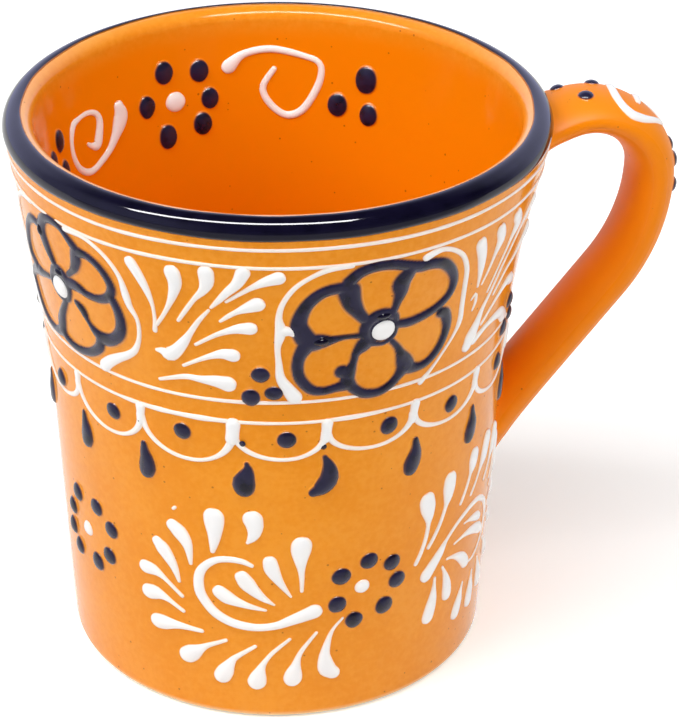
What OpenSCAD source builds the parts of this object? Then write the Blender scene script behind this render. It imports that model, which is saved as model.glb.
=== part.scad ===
// Clay mug: a flared cup with a rounded lip, a strap handle and slip-trailed ornament in relief.
// Millimetres. The cup's axis is Z, its foot stands on Z = 0 and the handle points along +X.

/* [Cup] */
// Height from the foot to the crown of the lip
cup_height = 102; // [80:1:130]
// Diameter over the lip, with its band
rim_d = 92.9; // [74:0.1:120]
// Diameter of the straight lower wall where it meets the foot
foot_d = 74.8; // [58:0.1:96]
// Diameter where the lower taper and the upper flare cross
waist_d = 81.2; // [64:0.1:104]
// Share of the height at which they cross
waist_at = 0.62; // [0.45:0.01:0.75]
// Share of the height over which they blend, each way
blend_share = 0.1; // [0.04:0.01:0.16]
// Thickness of the clay wall
wall = 4.9; // [3:0.1:7]
// Thickness of the floor above the recess
floor_t = 5.5; // [4:0.1:9]
// Radius between the floor and the inside of the wall
floor_fillet = 9; // [4:0.5:14]
// Radius of the foot's outer edge
foot_round = 1.6; // [0.6:0.1:3]
// Width of the ring that the cup stands on
foot_ring_w = 6; // [3:0.5:10]
// Depth of the recess inside that ring
foot_recess = 1.4; // [0.6:0.1:3]

/* [Handle] */
// Width of the strap
handle_w = 15; // [10:0.1:22]
// Thickness of the strap
handle_t = 8; // [5:0.1:11]
// Space between the strap's upper root and the band on the lip
handle_drop = 0.3; // [0.2:0.1:6]
// Rise of the strap as it leaves the wall, in degrees
handle_rise = 7; // [0:1:20]
// Length of the straight run from the wall to the bend
handle_run = 8; // [4:0.1:14]
// Radius of the upper bend, to the middle of the strap
bend_r = 12.3; // [9:0.1:18]
// Radius of the long curve into the leg
leg_r = 33; // [22:0.5:48]
// Share of the height at which the leg meets the wall
lower_root_at = 0.363; // [0.28:0.01:0.4]
// How much wider the strap is where it meets the wall
root_flare = 0.2; // [0:0.05:0.35]

/* [Slip ornament] */
// Height of the white lines above the glaze
line_h = 0.7; // [0.3:0.05:1.2]
// Height of the dark dots and petals above the glaze
dot_h = 0.9; // [0.4:0.05:1.5]
// Thickness of the coat over the lip
band_t = 0.35; // [0.2:0.05:0.6]
// How far that coat comes down the outside of the wall
band_drop = 1.1; // [0.4:0.1:1.2]
// Angle over the lip at which that coat ends, with 90 at the top
band_over = 101; // [80:1:160]
// Width of the ring lines
ring_w = 0.9; // [0.5:0.05:1.5]
// Diameter of the dots in the garland, the berries and the rosettes
dot_d = 3.3; // [2:0.1:4]
// Diameter of the white eyes in the flowers
flower_eye_d = 3.8; // [2:0.1:4.2]
// Diameter of the white eyes in the rosettes
rosette_eye_d = 2.8; // [1.5:0.1:4]
// Space between the slip and the clay that it lies on
seat = 0.1; // [0.08:0.01:0.2]

/* [Hidden] */
$fn = 64;

WHITE = [0.96, 0.93, 0.88];
NAVY = [0.12, 0.13, 0.22];
ORANGE = [0.93, 0.54, 0.14];

// One unit of the flat drawings, which are laid out on a cup 102 units tall
unit = cup_height / 102;

lip_r = wall / 2;
lip_z = cup_height - band_t - lip_r;
lip_u = rim_d / 2 - band_t - lip_r;
waist_z = waist_at * cup_height;
blend = blend_share * cup_height;
lower_slope = (waist_d - foot_d) / 2 / waist_z;
upper_slope = (rim_d / 2 - band_t - waist_d / 2) / (lip_z - waist_z);

// Heights of the belts of ornament
lip_ring_z = 97 * unit;
frieze_top_z = 93.4 * unit;
frieze_z = 80 * unit;
frieze_low_z = 66.9 * unit;
garland_ring_z = 62.7 * unit;
garland_z = 57 * unit;
lower_z = 27 * unit;
inside_z = 86.5 * unit;

// Turn for each millimetre of a drawing, so that a belt keeps its motifs round any diameter
frieze_turn = 1.325;
garland_turn = 1.42;
lower_turn = 1.474;
inside_turn = 1.479;
bend_turn = 3.515;
strap_unit = handle_w / 15;

// Where the motifs stand round the cup, with the handle at 0
flower_at = [-156, -77, 40, 124];
frond_at = [-115, -37, 82, 163];
swirl_at = [-112, -36, 48, 132];
swirl_spin = [0, 205, 0, 205];
rosette_at = [-160, -78, 90];
inside_at = [108, -72];

// Posts of the garland, spaced by eye
post_at = [-178.5, -156, -134, -110.5, -88.5, -66, -44, -21, 2, 24.5, 47, 69.5, 92, 114.5, 137, 159.5];
swag_w = 15.84;

// Upper root of the handle, on the wall
root_over = 1 + root_flare / 4;
root_z = lip_z - handle_drop - handle_t / 2 * root_over;
root_u = wall_r(root_z);
bend_c = run_point(handle_run) + bend_r * [sin(handle_rise), -cos(handle_rise)];
leg_c = bend_c + [bend_r - leg_r, 0];
lower_root = [wall_r(lower_root_at * cup_height), lower_root_at * cup_height];
to_root = lower_root - leg_c;
leg_lean = -atan2(to_root[1], to_root[0]) - acos(leg_r / norm(to_root));
leg_end = leg_c + leg_r * [cos(leg_lean), -sin(leg_lean)];
leg_heading = -90 - leg_lean;
flare_l = 0.45 * handle_t;
ring_gap = asin((handle_w / 2 * (1 + root_flare) + ring_w) / root_u);

// Outside radius of the clay wall: two tapers with a parabolic blend
function wall_r(z) =
    let (d = z - waist_z)
    let (flare = d < -blend ? 0 : d > blend ? d : pow(d + blend, 2) / (4 * blend))
    waist_d / 2 + lower_slope * d + (upper_slope - lower_slope) * flare;

// Lean of the wall from upright at a height
function wall_lean(z) = atan((wall_r(z + 0.5) - wall_r(z - 0.5)));

// A point of a drawing on the outside of the cup; h lifts it off the clay
function on_wall(at, z0, turn, p, h) =
    let (z = z0 + p[1] * unit)
    let (r = wall_r(z) + seat + h)
    let (a = at + p[0] * turn)
    [r * cos(a), r * sin(a), z];

// The same on the inside, where the drawing's right is the other way round
function in_wall(at, z0, turn, p, h) =
    let (z = z0 + p[1] * unit)
    let (r = wall_r(z) - wall - seat - h)
    let (a = at - p[0] * turn)
    [r * cos(a), r * sin(a), z];

// A point on the outer face of the handle's bend: across the strap, and along it from the bend's start
function on_bend(p, h) =
    let (across = p[0] * strap_unit)
    let (tilt = bend_tilt(across))
    let (r = bend_r + handle_t / 2 * strap_fall(across) + (seat + h) * cos(tilt))
    let (a = bend_angle(p))
    [bend_c[0] + r * cos(a), across + (seat + h) * sin(tilt), bend_c[1] + r * sin(a)];

function strap_fall(across) = sqrt(1 - pow(2 * across / handle_w, 2));
function bend_tilt(across) = atan2(across / pow(handle_w / 2, 2), strap_fall(across) / (handle_t / 2));
function bend_angle(p) = 90 + handle_rise - p[1] * bend_turn;

function run_point(d) = [root_u + d * cos(handle_rise), root_z + d * sin(handle_rise)];

// Curves in the flat drawings; each point is [x, y, width]
function direction(v) = v / norm(v);
function turned(p, a) = [p[0] * cos(a) - p[1] * sin(a), p[0] * sin(a) + p[1] * cos(a), p[2]];
function spline(a, b, c, d, t) =
    0.5 * (2 * b + (c - a) * t + (2 * a - 5 * b + 4 * c - d) * t * t + (3 * b - a - 3 * c + d) * t * t * t);

// Rounds off a line through its points, two steps a span
function smooth(p) =
    let (n = len(p) - 1)
    concat([for (i = [0 : n - 1]) for (t = [0, 0.5])
        spline(p[max(i - 1, 0)], p[i], p[i + 1], p[min(i + 2, n)], t)], [p[n]]);

function smooth_loop(p) =
    let (n = len(p))
    [for (i = [0 : n - 1]) for (t = [0, 0.5])
        spline(p[(i + n - 1) % n], p[i], p[(i + 1) % n], p[(i + 2) % n], t)];

// A brush stroke with a round head that thins to its tail: [head x, y, tail x, y, width, sideways bend]
function plume(s) =
    let (head = [s[0], s[1]])
    let (tail = [s[2], s[3]])
    let (along = tail - head)
    let (mid = (head + tail) / 2 + s[5] * [along[1], -along[0]])
    [for (t = [0, 0.2, 0.45, 0.7, 1])
        let (p = (1 - t) * (1 - t) * head + 2 * t * (1 - t) * mid + t * t * tail)
        [p[0], p[1], s[4] * (0.22 + 0.78 * pow(1 - t, 1.6))]];

// Adds the round end of a line before its first point
function round_head(p) =
    let (d = direction([p[1][0] - p[0][0], p[1][1] - p[0][1]]))
    let (w = p[0][2])
    concat([[p[0][0] - d[0] * 0.43 * w, p[0][1] - d[1] * 0.43 * w, 0.5 * w]], p);

function reversed(p) = [for (i = [len(p) - 1 : -1 : 0]) p[i]];
function round_ends(p) = reversed(round_head(reversed(round_head(p))));

// Direction of a line at its point i
function heading(p, i, closed) =
    let (n = len(p))
    let (a = closed ? p[(i + n - 1) % n] : p[max(i - 1, 0)])
    let (b = closed ? p[(i + 1) % n] : p[min(i + 1, n - 1)])
    direction([b[0] - a[0], b[1] - a[1]]);

// Five points of a domed section across a line, as [x, y, height]
function section(p, i, h, closed) =
    let (d = heading(p, i, closed))
    let (w = p[i][2] / 2)
    [for (s = [[1, 0], [0.72, 0.7], [0, 1], [-0.72, 0.7], [-1, 0]])
        [p[i][0] - d[1] * w * s[0], p[i][1] + d[0] * w * s[0], h * s[1]]];

function sections(p, h, closed = false) = [for (i = [0 : len(p) - 1]) section(p, i, h, closed)];

// Joins rings of points into one closed surface
module skin(rings, closed = false) {
    n = len(rings[0]);
    m = len(rings);
    last = (m - 1) * n;
    sides = [for (i = [0 : closed ? m - 1 : m - 2]) for (j = [0 : n - 1])
        let (k = (j + 1) % n)
        let (u = (i + 1) % m)
        each [[i * n + j, u * n + k, i * n + k], [i * n + j, u * n + j, u * n + k]]];
    ends = closed ? [] : [for (j = [1 : n - 2]) each [[0, j, j + 1], [last, last + j + 1, last + j]]];
    polyhedron([for (r = rings) each r], concat(sides, ends), convexity = 6);
}

// A line of slip on the outside of the cup, turned by spin in its drawing
module wall_line(p, at, z0, turn, h, spin = 0, closed = false) {
    flat = [for (q = p) turned(q, spin)];
    skin([for (s = sections(flat, h, closed)) [for (q = s) on_wall(at, z0, turn, q, q[2])]], closed);
}

module inside_line(p, at, h) {
    skin([for (s = sections(p, h)) [for (q = s) in_wall(at, inside_z, inside_turn, q, q[2])]]);
}

module bend_line(p, h) {
    skin([for (s = sections(p, h)) [for (q = s) on_bend(q, q[2])]]);
}

// A round drop of slip with a flat base
module dome(d, h) {
    r = (d * d / 4 + h * h) / (2 * h);
    rotate_extrude()
        intersection() {
            translate([0, h - r])
                circle(r = r);
            square([d, h]);
        }
}

module wall_dot(d, h, at, z0, turn, p) {
    z = z0 + p[1] * unit;
    rotate([0, 0, at + p[0] * turn])
        translate([wall_r(z) + seat, 0, z])
            rotate([0, 90 + wall_lean(z), 0])
                dome(d, h);
}

module inside_dot(d, h, at, p) {
    z = inside_z + p[1] * unit;
    r = wall_r(z) - wall;
    hollow = d * d / (8 * r);
    rotate([0, 0, at - p[0] * inside_turn])
        translate([r - seat - hollow, 0, z])
            rotate([0, wall_lean(z) - 90, 0])
                dome(d, h);
}

module bend_dot(d, h, p) {
    translate(on_bend(p, 0))
        rotate([0, -bend_angle(p), 0])
            rotate([0, 0, bend_tilt(p[0] * strap_unit)])
                rotate([0, 90, 0])
                    dome(d, h);
}

// Cup: foot, flared wall, rounded lip and floor in one turned profile
module cup_body() {
    foot_r = wall_r(foot_round);
    ring_r = foot_r - foot_round - foot_ring_w;
    floor_z = foot_recess + floor_t;
    fillet_r = wall_r(floor_z + floor_fillet) - wall - floor_fillet;
    levels = concat([for (i = [-1 : 0.25 : 1]) waist_z + i * blend], [lip_z]);
    foot_edge = [for (a = [-90 : 15 : 0])
        [foot_r - foot_round + foot_round * cos(a), foot_round * (1 + sin(a))]];
    outside = [for (z = levels) [wall_r(z), z]];
    inside = [for (z = reversed(levels)) [wall_r(z) - wall, z]];
    corner = [for (a = [0 : 10 : 90])
        [fillet_r + floor_fillet * cos(a), floor_z + floor_fillet * (1 - sin(a))]];
    recess = [[ring_r - foot_recess, foot_recess], [ring_r, 0]];
    color(ORANGE)
        rotate_extrude($fn = 128) {
            polygon(concat([[0, foot_recess]], recess, foot_edge, outside, inside, corner, [[0, floor_z]]));
            translate([lip_u, lip_z])
                circle(r = lip_r);
        }
}

// Handle: one strap swept along a run, a bend, a long curve and a straight leg, scribed to the wall
module handle() {
    far = 20 * flare_l;
    leg_l = norm(leg_end - lower_root);
    run = [for (t = [0, 0.25, 0.6]) [run_point(t * handle_run), handle_rise, t * handle_run, 1]];
    bend = [for (i = [0 : 8])
        let (a = (90 + handle_rise) * (1 - i / 9))
        [bend_c + bend_r * [cos(a), sin(a)], a - 90, far, 1]];
    curve = [for (i = [0 : 4])
        let (a = -leg_lean * i / 5)
        [leg_c + leg_r * [cos(a), sin(a)], a - 90, far, 1]];
    leg = [for (t = [0, 0.25, 0.5, 0.72, 0.88, 1])
        [leg_end + t * (lower_root - leg_end), leg_heading, leg_l * (1 - t), 0.5]];
    stations = concat(run, bend, curve, leg);
    rings = [for (s = stations) strap_ring(s)];
    last = len(rings) - 1;
    upper = [for (p = rings[0]) scribed(p, handle_rise, 0)];
    lower = [for (p = rings[last]) scribed(p, leg_heading, 0)];
    body = [for (i = [1 : last - 1]) rings[i]];
    upper_mid = scribed([root_u, 0, root_z], handle_rise, 3 * seat);
    lower_mid = scribed([lower_root[0], 0, lower_root[1]], leg_heading, 3 * seat);
    color(ORANGE)
        capped_skin(concat([upper], body, [lower]), upper_mid, lower_mid);
}

// Oval ring of the strap at a station [place, heading, distance to the wall, share of the flare]
function strap_ring(s) =
    let (grow = s[3] * exp(-s[2] / flare_l))
    let (half_w = handle_w / 2 * (1 + root_flare * grow))
    let (half_t = handle_t / 2 * (1 + root_flare / 4 * grow))
    [for (a = [0 : 20 : 340])
        let (out = half_t * sin(a))
        [s[0][0] - sin(s[1]) * out, half_w * cos(a), s[0][1] + cos(s[1]) * out]];

// Slides a point along a heading until it lies on the wall
function scribed(p, a, lift, steps = 6) =
    let (r = wall_r(p[2]) + seat + lift)
    let (u = sqrt(r * r - p[1] * p[1]))
    steps == 0 ? p : scribed([u, p[1], p[2] + (u - p[0]) * tan(a)], a, lift, steps - 1);

// As skin, with each end closed to a middle point
module capped_skin(rings, first, final) {
    n = len(rings[0]);
    m = len(rings);
    last = (m - 1) * n;
    sides = [for (i = [0 : m - 2]) for (j = [0 : n - 1])
        let (k = (j + 1) % n)
        each [[i * n + j, i * n + n + k, i * n + k], [i * n + j, i * n + n + j, i * n + n + k]]];
    ends = [for (j = [0 : n - 1])
        let (k = (j + 1) % n)
        each [[m * n, j, k], [m * n + 1, last + k, last + j]]];
    polyhedron(concat([for (r = rings) each r], [first, final]), concat(sides, ends), convexity = 6);
}

// Coat over the lip and a little way down the outside, cut away above the handle
module rim_band() {
    lean = [-upper_slope * band_drop, -band_drop];
    angles = [for (i = [0 : 12]) band_over * i / 12];
    under = [for (a = angles) (lip_r + seat) * [cos(a), sin(a)]];
    over = [for (a = reversed(angles)) (lip_r + band_t) * [cos(a), sin(a)]];
    color(NAVY)
        difference() {
            rotate_extrude($fn = 128)
                translate([lip_u, lip_z])
                    polygon(concat([under[0] + lean], under, over, [[lip_r + band_t, 0] + lean]));
            rotate([0, 0, -ring_gap])
                rotate_extrude(angle = 2 * ring_gap, $fn = 128)
                    translate([lip_u, lip_z - seat - wall])
                        square(wall);
        }
}

// Bead of slip round the wall, left open by gap degrees each side of the handle
module ring_line(z, gap = 0) {
    half = ring_w / 2;
    bead = [for (s = [[-1, 0], [-0.7, 0.7], [0, 1], [0.7, 0.7], [1, 0]])
        [wall_r(z + s[0] * half) + seat + line_h * s[1], z + s[0] * half]];
    color(WHITE)
        rotate([0, 0, gap])
            rotate_extrude(angle = 360 - 2 * gap, $fn = 128)
                polygon(bead);
}

module lip_ring() {
    ring_line(lip_ring_z, ring_gap);
}

module frieze_top_ring() {
    ring_line(frieze_top_z, ring_gap);
}

module frieze_low_ring() {
    ring_line(frieze_low_z);
}

module garland_ring() {
    ring_line(garland_ring_z);
}

// Garland: one white swag between two posts, a dot inside it and a drop under each post
module garland_scallops() {
    half = [[-7, 4.3, 1.4], [-6.8, 2.2, 1.4], [-5.6, 0.1, 1.1], [-3.2, -1.3, 0.9], [0, -1.9, 0.9]];
    other = [for (p = reversed(half)) if (p[0] < 0) [-p[0], p[1], p[2]]];
    color(WHITE)
        for (i = [0 : len(post_at) - 1])
            wall_line(round_ends(concat(half, other)), swag_mid(i), garland_z, swag_span(i) / swag_w, line_h);
}

module garland_dots() {
    color(NAVY)
        for (i = [0 : len(post_at) - 1])
            wall_dot(dot_d, dot_h, swag_mid(i), garland_z, garland_turn, [0, 2.2]);
}

module garland_drops() {
    drop = [[0.6, -2.3, 0.7], [0.6, -4.2, 2], [0.3, -6, 3.3], [0, -7.4, 3.9], [-0.3, -8.6, 3],
        [-0.4, -9.3, 1.4]];
    color(NAVY)
        for (at = post_at)
            wall_line(drop, at, garland_z, garland_turn, dot_h);
}

// Turn from post i to the next one, and the middle between them
function swag_span(i) = i < len(post_at) - 1 ? post_at[i + 1] - post_at[i] : post_at[0] + 360 - post_at[i];
function swag_mid(i) = post_at[i] + swag_span(i) / 2;

// Flower: six petal outlines round a white eye
module flower(at) {
    reach = [13.9, 11.5, 13.9, 13.9, 11.3, 13.9];
    at_angle = [32, 90, 148, 212, 270, 328];
    color(NAVY)
        for (i = [0 : 5])
            wall_line(petal(reach[i], at_angle[i]), at, frieze_z, frieze_turn, dot_h, 0, true);
}

// Outline of a petal that points along the angle a; its points are [distance, angle off, width]
function petal(reach, a) =
    let (half = [[3.3, 0, 1.7], [4.3, 18, 1.7], [0.5 * reach, 22, 1.8], [0.74 * reach, 22.5, 2.2],
        [0.92 * reach, 15, 2.2]])
    let (other = [for (p = reversed(half)) if (p[1] > 0) [p[0], -p[1], p[2]]])
    smooth_loop([for (p = concat(half, [[reach, 0, 2.2]], other))
        [p[0] * cos(a - p[1]), p[0] * sin(a - p[1]), p[2]]]);

module flower_eyes() {
    color(WHITE)
        for (at = flower_at)
            wall_dot(flower_eye_d, line_h, at, frieze_z, frieze_turn, [0, 0]);
}

// White brackets left and right of a flower
module frame(at) {
    left = [[-8.5, 12.3, 0.9], [-13, 11, 1], [-16.2, 7.5, 1.2], [-17, 2, 1.7], [-17, -3, 1.2],
        [-16.5, -7, 1.6], [-15.3, -10.9, 2.6]];
    right = [[7.6, 12, 1.8], [11, 12, 0.9], [14.8, 9, 1], [16.8, 4, 1.1], [17.2, -2, 1.3],
        [15.6, -7, 1], [12.4, -10.6, 0.9], [9, -12.2, 1]];
    color(WHITE) {
        wall_line(round_ends(smooth(left)), at, frieze_z, frieze_turn, line_h);
        wall_line(round_ends(smooth(right)), at, frieze_z, frieze_turn, line_h);
    }
}

// Frond: tapering strokes on both sides of a slanting stem
module frond(at) {
    strokes = [[-12.2, 11.2, -9.6, -0.9, 2.6, -0.16], [-5, 11, -8.3, 1.2, 3.1, -0.08],
        [0.5, 11.4, -4.7, 2, 2.9, -0.06], [6, 11.6, 1, 5.5, 2.6, 0.02], [11.6, 11.8, 3.4, 7, 2.2, 0.05],
        [8.4, 6.3, 2.4, 3, 2.9, 0.04], [7.2, 1.8, -2, -2.3, 3, 0.08], [4.1, -3.7, -4.6, -6.9, 2.8, 0.08],
        [3.2, -9.7, -9.4, -10.7, 3.2, 0.08]];
    stem = [[-8.2, -5.3, 1.4], [-6.6, -5, 2.4], [-4.6, -3.2, 1.9], [-2.2, 0.7, 1.1], [0.2, 4.4, 0.7]];
    color(WHITE) {
        for (s = strokes)
            wall_line(round_head(plume(s)), at, frieze_z, frieze_turn, line_h);
        wall_line(round_head(stem), at, frieze_z, frieze_turn, line_h);
    }
}

// Three dots, two of them just above the line below the frieze
module berries(at) {
    low = (frieze_low_z - frieze_z + (ring_w + dot_d) / 2 + 2 * seat) / unit;
    color(NAVY)
        for (p = [[8.6, low + 4.3], [6.5, low], [10.7, low + 0.3]])
            wall_dot(dot_d, dot_h, at, frieze_z, frieze_turn, p);
}

// Swirl: a thick line that curls round, ending in a round head
module swirl(at, spin) {
    curl = [[3.6, 6.4, 0.9], [0.4, 7.2, 1.3], [-3, 6.4, 1.4], [-5.3, 3.6, 1.8], [-5.4, 0, 2.2],
        [-3.3, -3.8, 2],
        [1, -6.4, 1.9], [5, -7, 1.7], [9, -5.9, 2.1], [11.8, -4.3, 2.7], [14.2, -3.6, 3.2]];
    color(WHITE)
        wall_line(round_ends(smooth(curl)), at, lower_z, lower_turn, line_h, spin);
}

// Plumes in and around a swirl, drawn once for the plain curl and once for the turned one
module plumes(at, spin) {
    inner = [[-1.6, -0.3, 6, -3, 3.1, 0.06], [2.2, 3.3, 7.5, -1.6, 3.3, 0.08], [7, 6.8, 10.3, 0, 3.1, 0.05],
        [12.2, 10.2, 12.3, 0.9, 3.8, 0]];
    upper = [[4.2, 15.7, 3.2, 11.2, 3.6, -0.15], [-2.5, 15.5, -3.1, 8.7, 3.8, 0],
        [-9.6, 11.8, -7, 5.1, 3.4, -0.15],
        [-12.8, 7.3, -9.3, 0.8, 3.3, -0.1]];
    left = [[-15.9, 1.4, -9, -2.5, 3.1, -0.12], [-15.5, -3.7, -8.8, -5.6, 3.5, -0.1],
        [-13.7, -9.3, -5.4, -9.2, 3.5, -0.02]];
    lower = [[-8, -14.9, -1.1, -10.4, 3.7, -0.1], [-1.8, -17.8, 4.1, -11.2, 3.8, -0.1],
        [4.3, -18.4, 10.2, -9.5, 3.8, -0.1], [11, -17.7, 14.8, -8.6, 3.6, -0.12],
        [17.2, -17, 19.5, -6.2, 3.6, -0.16]];
    above = [[-15.7, 13.8, -17.5, 1, 3.6, -0.28], [-10, 15.4, -14.7, 3.3, 3.5, -0.27],
        [-2.7, 16.8, -6.3, 8.4, 3.3, -0.22],
        [2.8, 17, -2.7, 8.3, 3.1, -0.12], [8.4, 15.4, 3.2, 8.2, 3.2, -0.1],
        [12.8, 11.2, 7.6, 5.9, 3.2, -0.08]];
    within = [[1.6, 1.2, -4.2, 2.9, 2, 0.1], [3.2, -2.3, -7.2, 0.2, 2.4, 0.18],
        [-2.6, -6.2, -9.2, -2, 2.6, 0.2]];
    below = [[-13.5, -12.2, -12.4, -4.6, 3.2, 0.08], [-8.5, -9.8, -10.4, -3.2, 2.8, 0.12],
        [-4.8, -16, -2.8, -10.8, 3, 0],
        [0.6, -16.4, 1.4, -10.6, 3, 0], [5.8, -15, 4.2, -9.2, 3, 0.06], [10.6, -11.2, 6.9, -6.4, 3.1, 0.08]];
    right = [[13, -5.4, 8.6, -3, 3.1, 0.08], [14.4, 0.4, 9.4, 0.4, 3.2, 0.05], [14.2, 6, 9, 3.4, 3, -0.05]];
    color(WHITE)
        for (s = spin == 0 ? concat(inner, upper, left, lower) : concat(above, within, below, right))
            wall_line(round_head(plume(s)), at, lower_z, lower_turn, line_h);
}

// Rosette: dots round a white eye, eight on the first one and seven on the others
module rosette(i) {
    seven = [[-3.9, 3.1], [1.1, 5.2], [5.6, 3.5], [6.9, -0.6], [4.4, -5.3], [-1.3, -6.8], [-4.5, -2.8]];
    eight = [[-2.5, 8.2], [4.3, 8.5], [8.2, 5.7], [7.3, -0.3], [3.3, -3.5], [-3.9, -4], [-6.6, -1],
        [-5.5, 3.7]];
    color(NAVY)
        for (p = i == 0 ? eight : seven)
            wall_dot(dot_d, dot_h, rosette_at[i], lower_z, lower_turn, p);
}

module rosette_eyes() {
    color(WHITE)
        for (i = [0 : 2])
            wall_dot(rosette_eye_d, line_h, rosette_at[i], lower_z, lower_turn, i == 0 ? [0.6, 2.2] : [0, 0]);
}

// Inside of the cup: two scrolls, a rosette between them and three dots at each end
module inside_scrolls(at) {
    left = [[-12.9, 2.2, 2.3], [-14.4, -1.4, 2.1], [-17.2, -5.1, 1.5], [-21, -6.8, 1.4], [-25.4, -5, 1.2],
        [-26.9, -1.6, 1.2], [-25.6, 2.7, 1.4], [-22, 3.9, 1.1], [-18.6, 3, 1.1], [-17.7, 0.4, 1.6],
        [-19.6, -1.6, 1.7],
        [-22.2, -1.9, 1.3]];
    right = [[10.6, 5, 2.8], [13.2, 7, 1.4], [18, 7.8, 1.4], [23.6, 6.7, 1.1], [26.8, 5.3, 1.2],
        [26.7, 1.6, 1.4],
        [24, -3.3, 1.5], [21, -4.6, 1.4], [18, -2.6, 1.4], [16.6, 0.6, 1.3], [18, 3.5, 1]];
    color(WHITE) {
        inside_line(round_ends(smooth(left)), at, line_h);
        inside_line(round_ends(smooth(right)), at, line_h);
    }
}

module inside_dots(at) {
    ring = [[-2, 5.6], [4.6, 4.7], [6.6, -0.7], [4.8, -5.1], [-2.4, -6.3], [-6.2, 0.2]];
    ends = [[35.2, 3.5], [30.1, -2], [36.2, -3], [-30.4, 3.2], [-30.2, -2.4], [-34.4, -0.4]];
    color(NAVY)
        for (p = concat(ring, ends))
            inside_dot(dot_d, dot_h, at, p);
}

module inside_eyes() {
    color(WHITE)
        for (at = inside_at)
            inside_dot(flower_eye_d, line_h, at, [0, 0]);
}

// Handle: a leaf outline over the bend, and three dots on each side of it
module handle_leaf() {
    side = [[-0.8, 6.2, 1.2], [-3.4, 6.2, 1.3], [-5.8, 7.8, 1.4], [-6.3, 10.4, 1.5], [-5.2, 14, 1.4],
        [-2.4, 17.2, 1.2], [-0.8, 18.4, 1]];
    vein = [[-1.6, 9.4, 0.9], [-1, 11.6, 1.8], [0.6, 13.2, 1.4], [0.6, 15, 0.8]];
    color(WHITE) {
        bend_line(round_ends(smooth(side)), line_h);
        bend_line(reversed(round_ends(smooth([for (p = side) [-p[0], p[1], p[2]]]))), line_h);
        bend_line(round_ends(vein), line_h);
    }
}

module handle_dots() {
    color(NAVY)
        for (p = [[-1.6, 1.6], [5.4, -0.4], [3.8, 4], [1.4, 21.6], [-1.8, 24.6], [0.4, 28.8]])
            bend_dot(dot_d, dot_h, p);
}

cup_body();
handle();
rim_band();
lip_ring();
frieze_top_ring();
frieze_low_ring();
garland_ring();
garland_scallops();
garland_dots();
garland_drops();
for (i = [0 : 3]) {
    flower(flower_at[i]);
    frame(flower_at[i]);
    frond(frond_at[i]);
    berries(frond_at[i]);
    swirl(swirl_at[i], swirl_spin[i]);
    plumes(swirl_at[i], swirl_spin[i]);
}
flower_eyes();
for (i = [0 : 2]) {
    rosette(i);
}
rosette_eyes();
for (i = [0 : 1]) {
    inside_scrolls(inside_at[i]);
    inside_dots(inside_at[i]);
}
inside_eyes();
handle_leaf();
handle_dots();
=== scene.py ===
"""Dresses the packed clay mug: glazed clay, slip trailed in relief, a pale floor and soft light."""

import logging
import math
from collections.abc import Callable, Sequence
from dataclasses import dataclass
from enum import Enum

import bmesh
import bpy
import numpy as np
from mathutils import Matrix, Vector, noise


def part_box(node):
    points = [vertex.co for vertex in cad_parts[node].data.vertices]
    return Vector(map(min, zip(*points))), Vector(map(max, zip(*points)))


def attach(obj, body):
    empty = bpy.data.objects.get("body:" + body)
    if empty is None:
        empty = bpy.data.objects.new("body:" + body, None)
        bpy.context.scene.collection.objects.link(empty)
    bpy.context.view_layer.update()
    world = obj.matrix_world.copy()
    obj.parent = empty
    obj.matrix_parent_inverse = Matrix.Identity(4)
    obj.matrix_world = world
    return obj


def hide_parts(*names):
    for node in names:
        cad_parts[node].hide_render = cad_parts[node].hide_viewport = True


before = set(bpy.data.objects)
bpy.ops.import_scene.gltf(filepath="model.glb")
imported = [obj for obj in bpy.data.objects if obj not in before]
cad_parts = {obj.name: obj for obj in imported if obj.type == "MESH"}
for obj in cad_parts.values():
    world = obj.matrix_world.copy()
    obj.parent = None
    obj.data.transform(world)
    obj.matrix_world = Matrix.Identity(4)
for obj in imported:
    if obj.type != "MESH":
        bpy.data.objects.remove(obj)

LOG = logging.getLogger("mug")
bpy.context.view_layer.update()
BODY = "root"
MM = 0.001
FRONT_TURN = 10.0

Socket = bpy.types.NodeSocket
Vert = bmesh.types.BMVert
Pair = tuple[float, float]
Node = tuple[float, float, float]
Colour = tuple[float, float, float]
Way = tuple[float, float, float]
Drawing = Sequence[Sequence[Node]]
Spot = tuple[float, float, float, float]
Place = Callable[[float, float, float], Vector]
Mover = Callable[[Vert, int, float], None]


def smoothstep(low: float, high: float, value: float) -> float:
    """Eases from 0 at low to 1 at high."""
    share = min(1.0, max(0.0, (value - low) / (high - low)))
    return share * share * (3.0 - 2.0 * share)


def waver(place: float, seed: float) -> float:
    """A smooth, repeatable unevenness between about -1 and 1."""
    return noise.noise(Vector((place, seed * 7.31, 0.37)))


def from_front(angle: float) -> float:
    """Counts an angle round the axis from the right of the mug as the photograph shows it."""
    return angle + math.radians(FRONT_TURN)


def towards(angle: float) -> Vector:
    """The flat direction at an angle."""
    return Vector((math.cos(angle), math.sin(angle)))


class Slot(Enum):
    """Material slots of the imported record."""

    ORANGE = "orange_glaze"
    WHITE = "white_slip"
    NAVY = "navy_slip"


class LightRole(Enum):
    """What a lamp does: it lights surfaces, or it only shows as a streak in the gloss."""

    LIGHTS = "lights"
    SHINES = "shines"


class Taper(Enum):
    """How a brush stroke loses its width from head to tail: where it starts, where it ends, what is left."""

    BULB = (0.16, 0.62, 0.27)
    LEAF = (0.1, 1.0, 0.24)
    PIN = (0.12, 0.42, 0.3)


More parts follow.
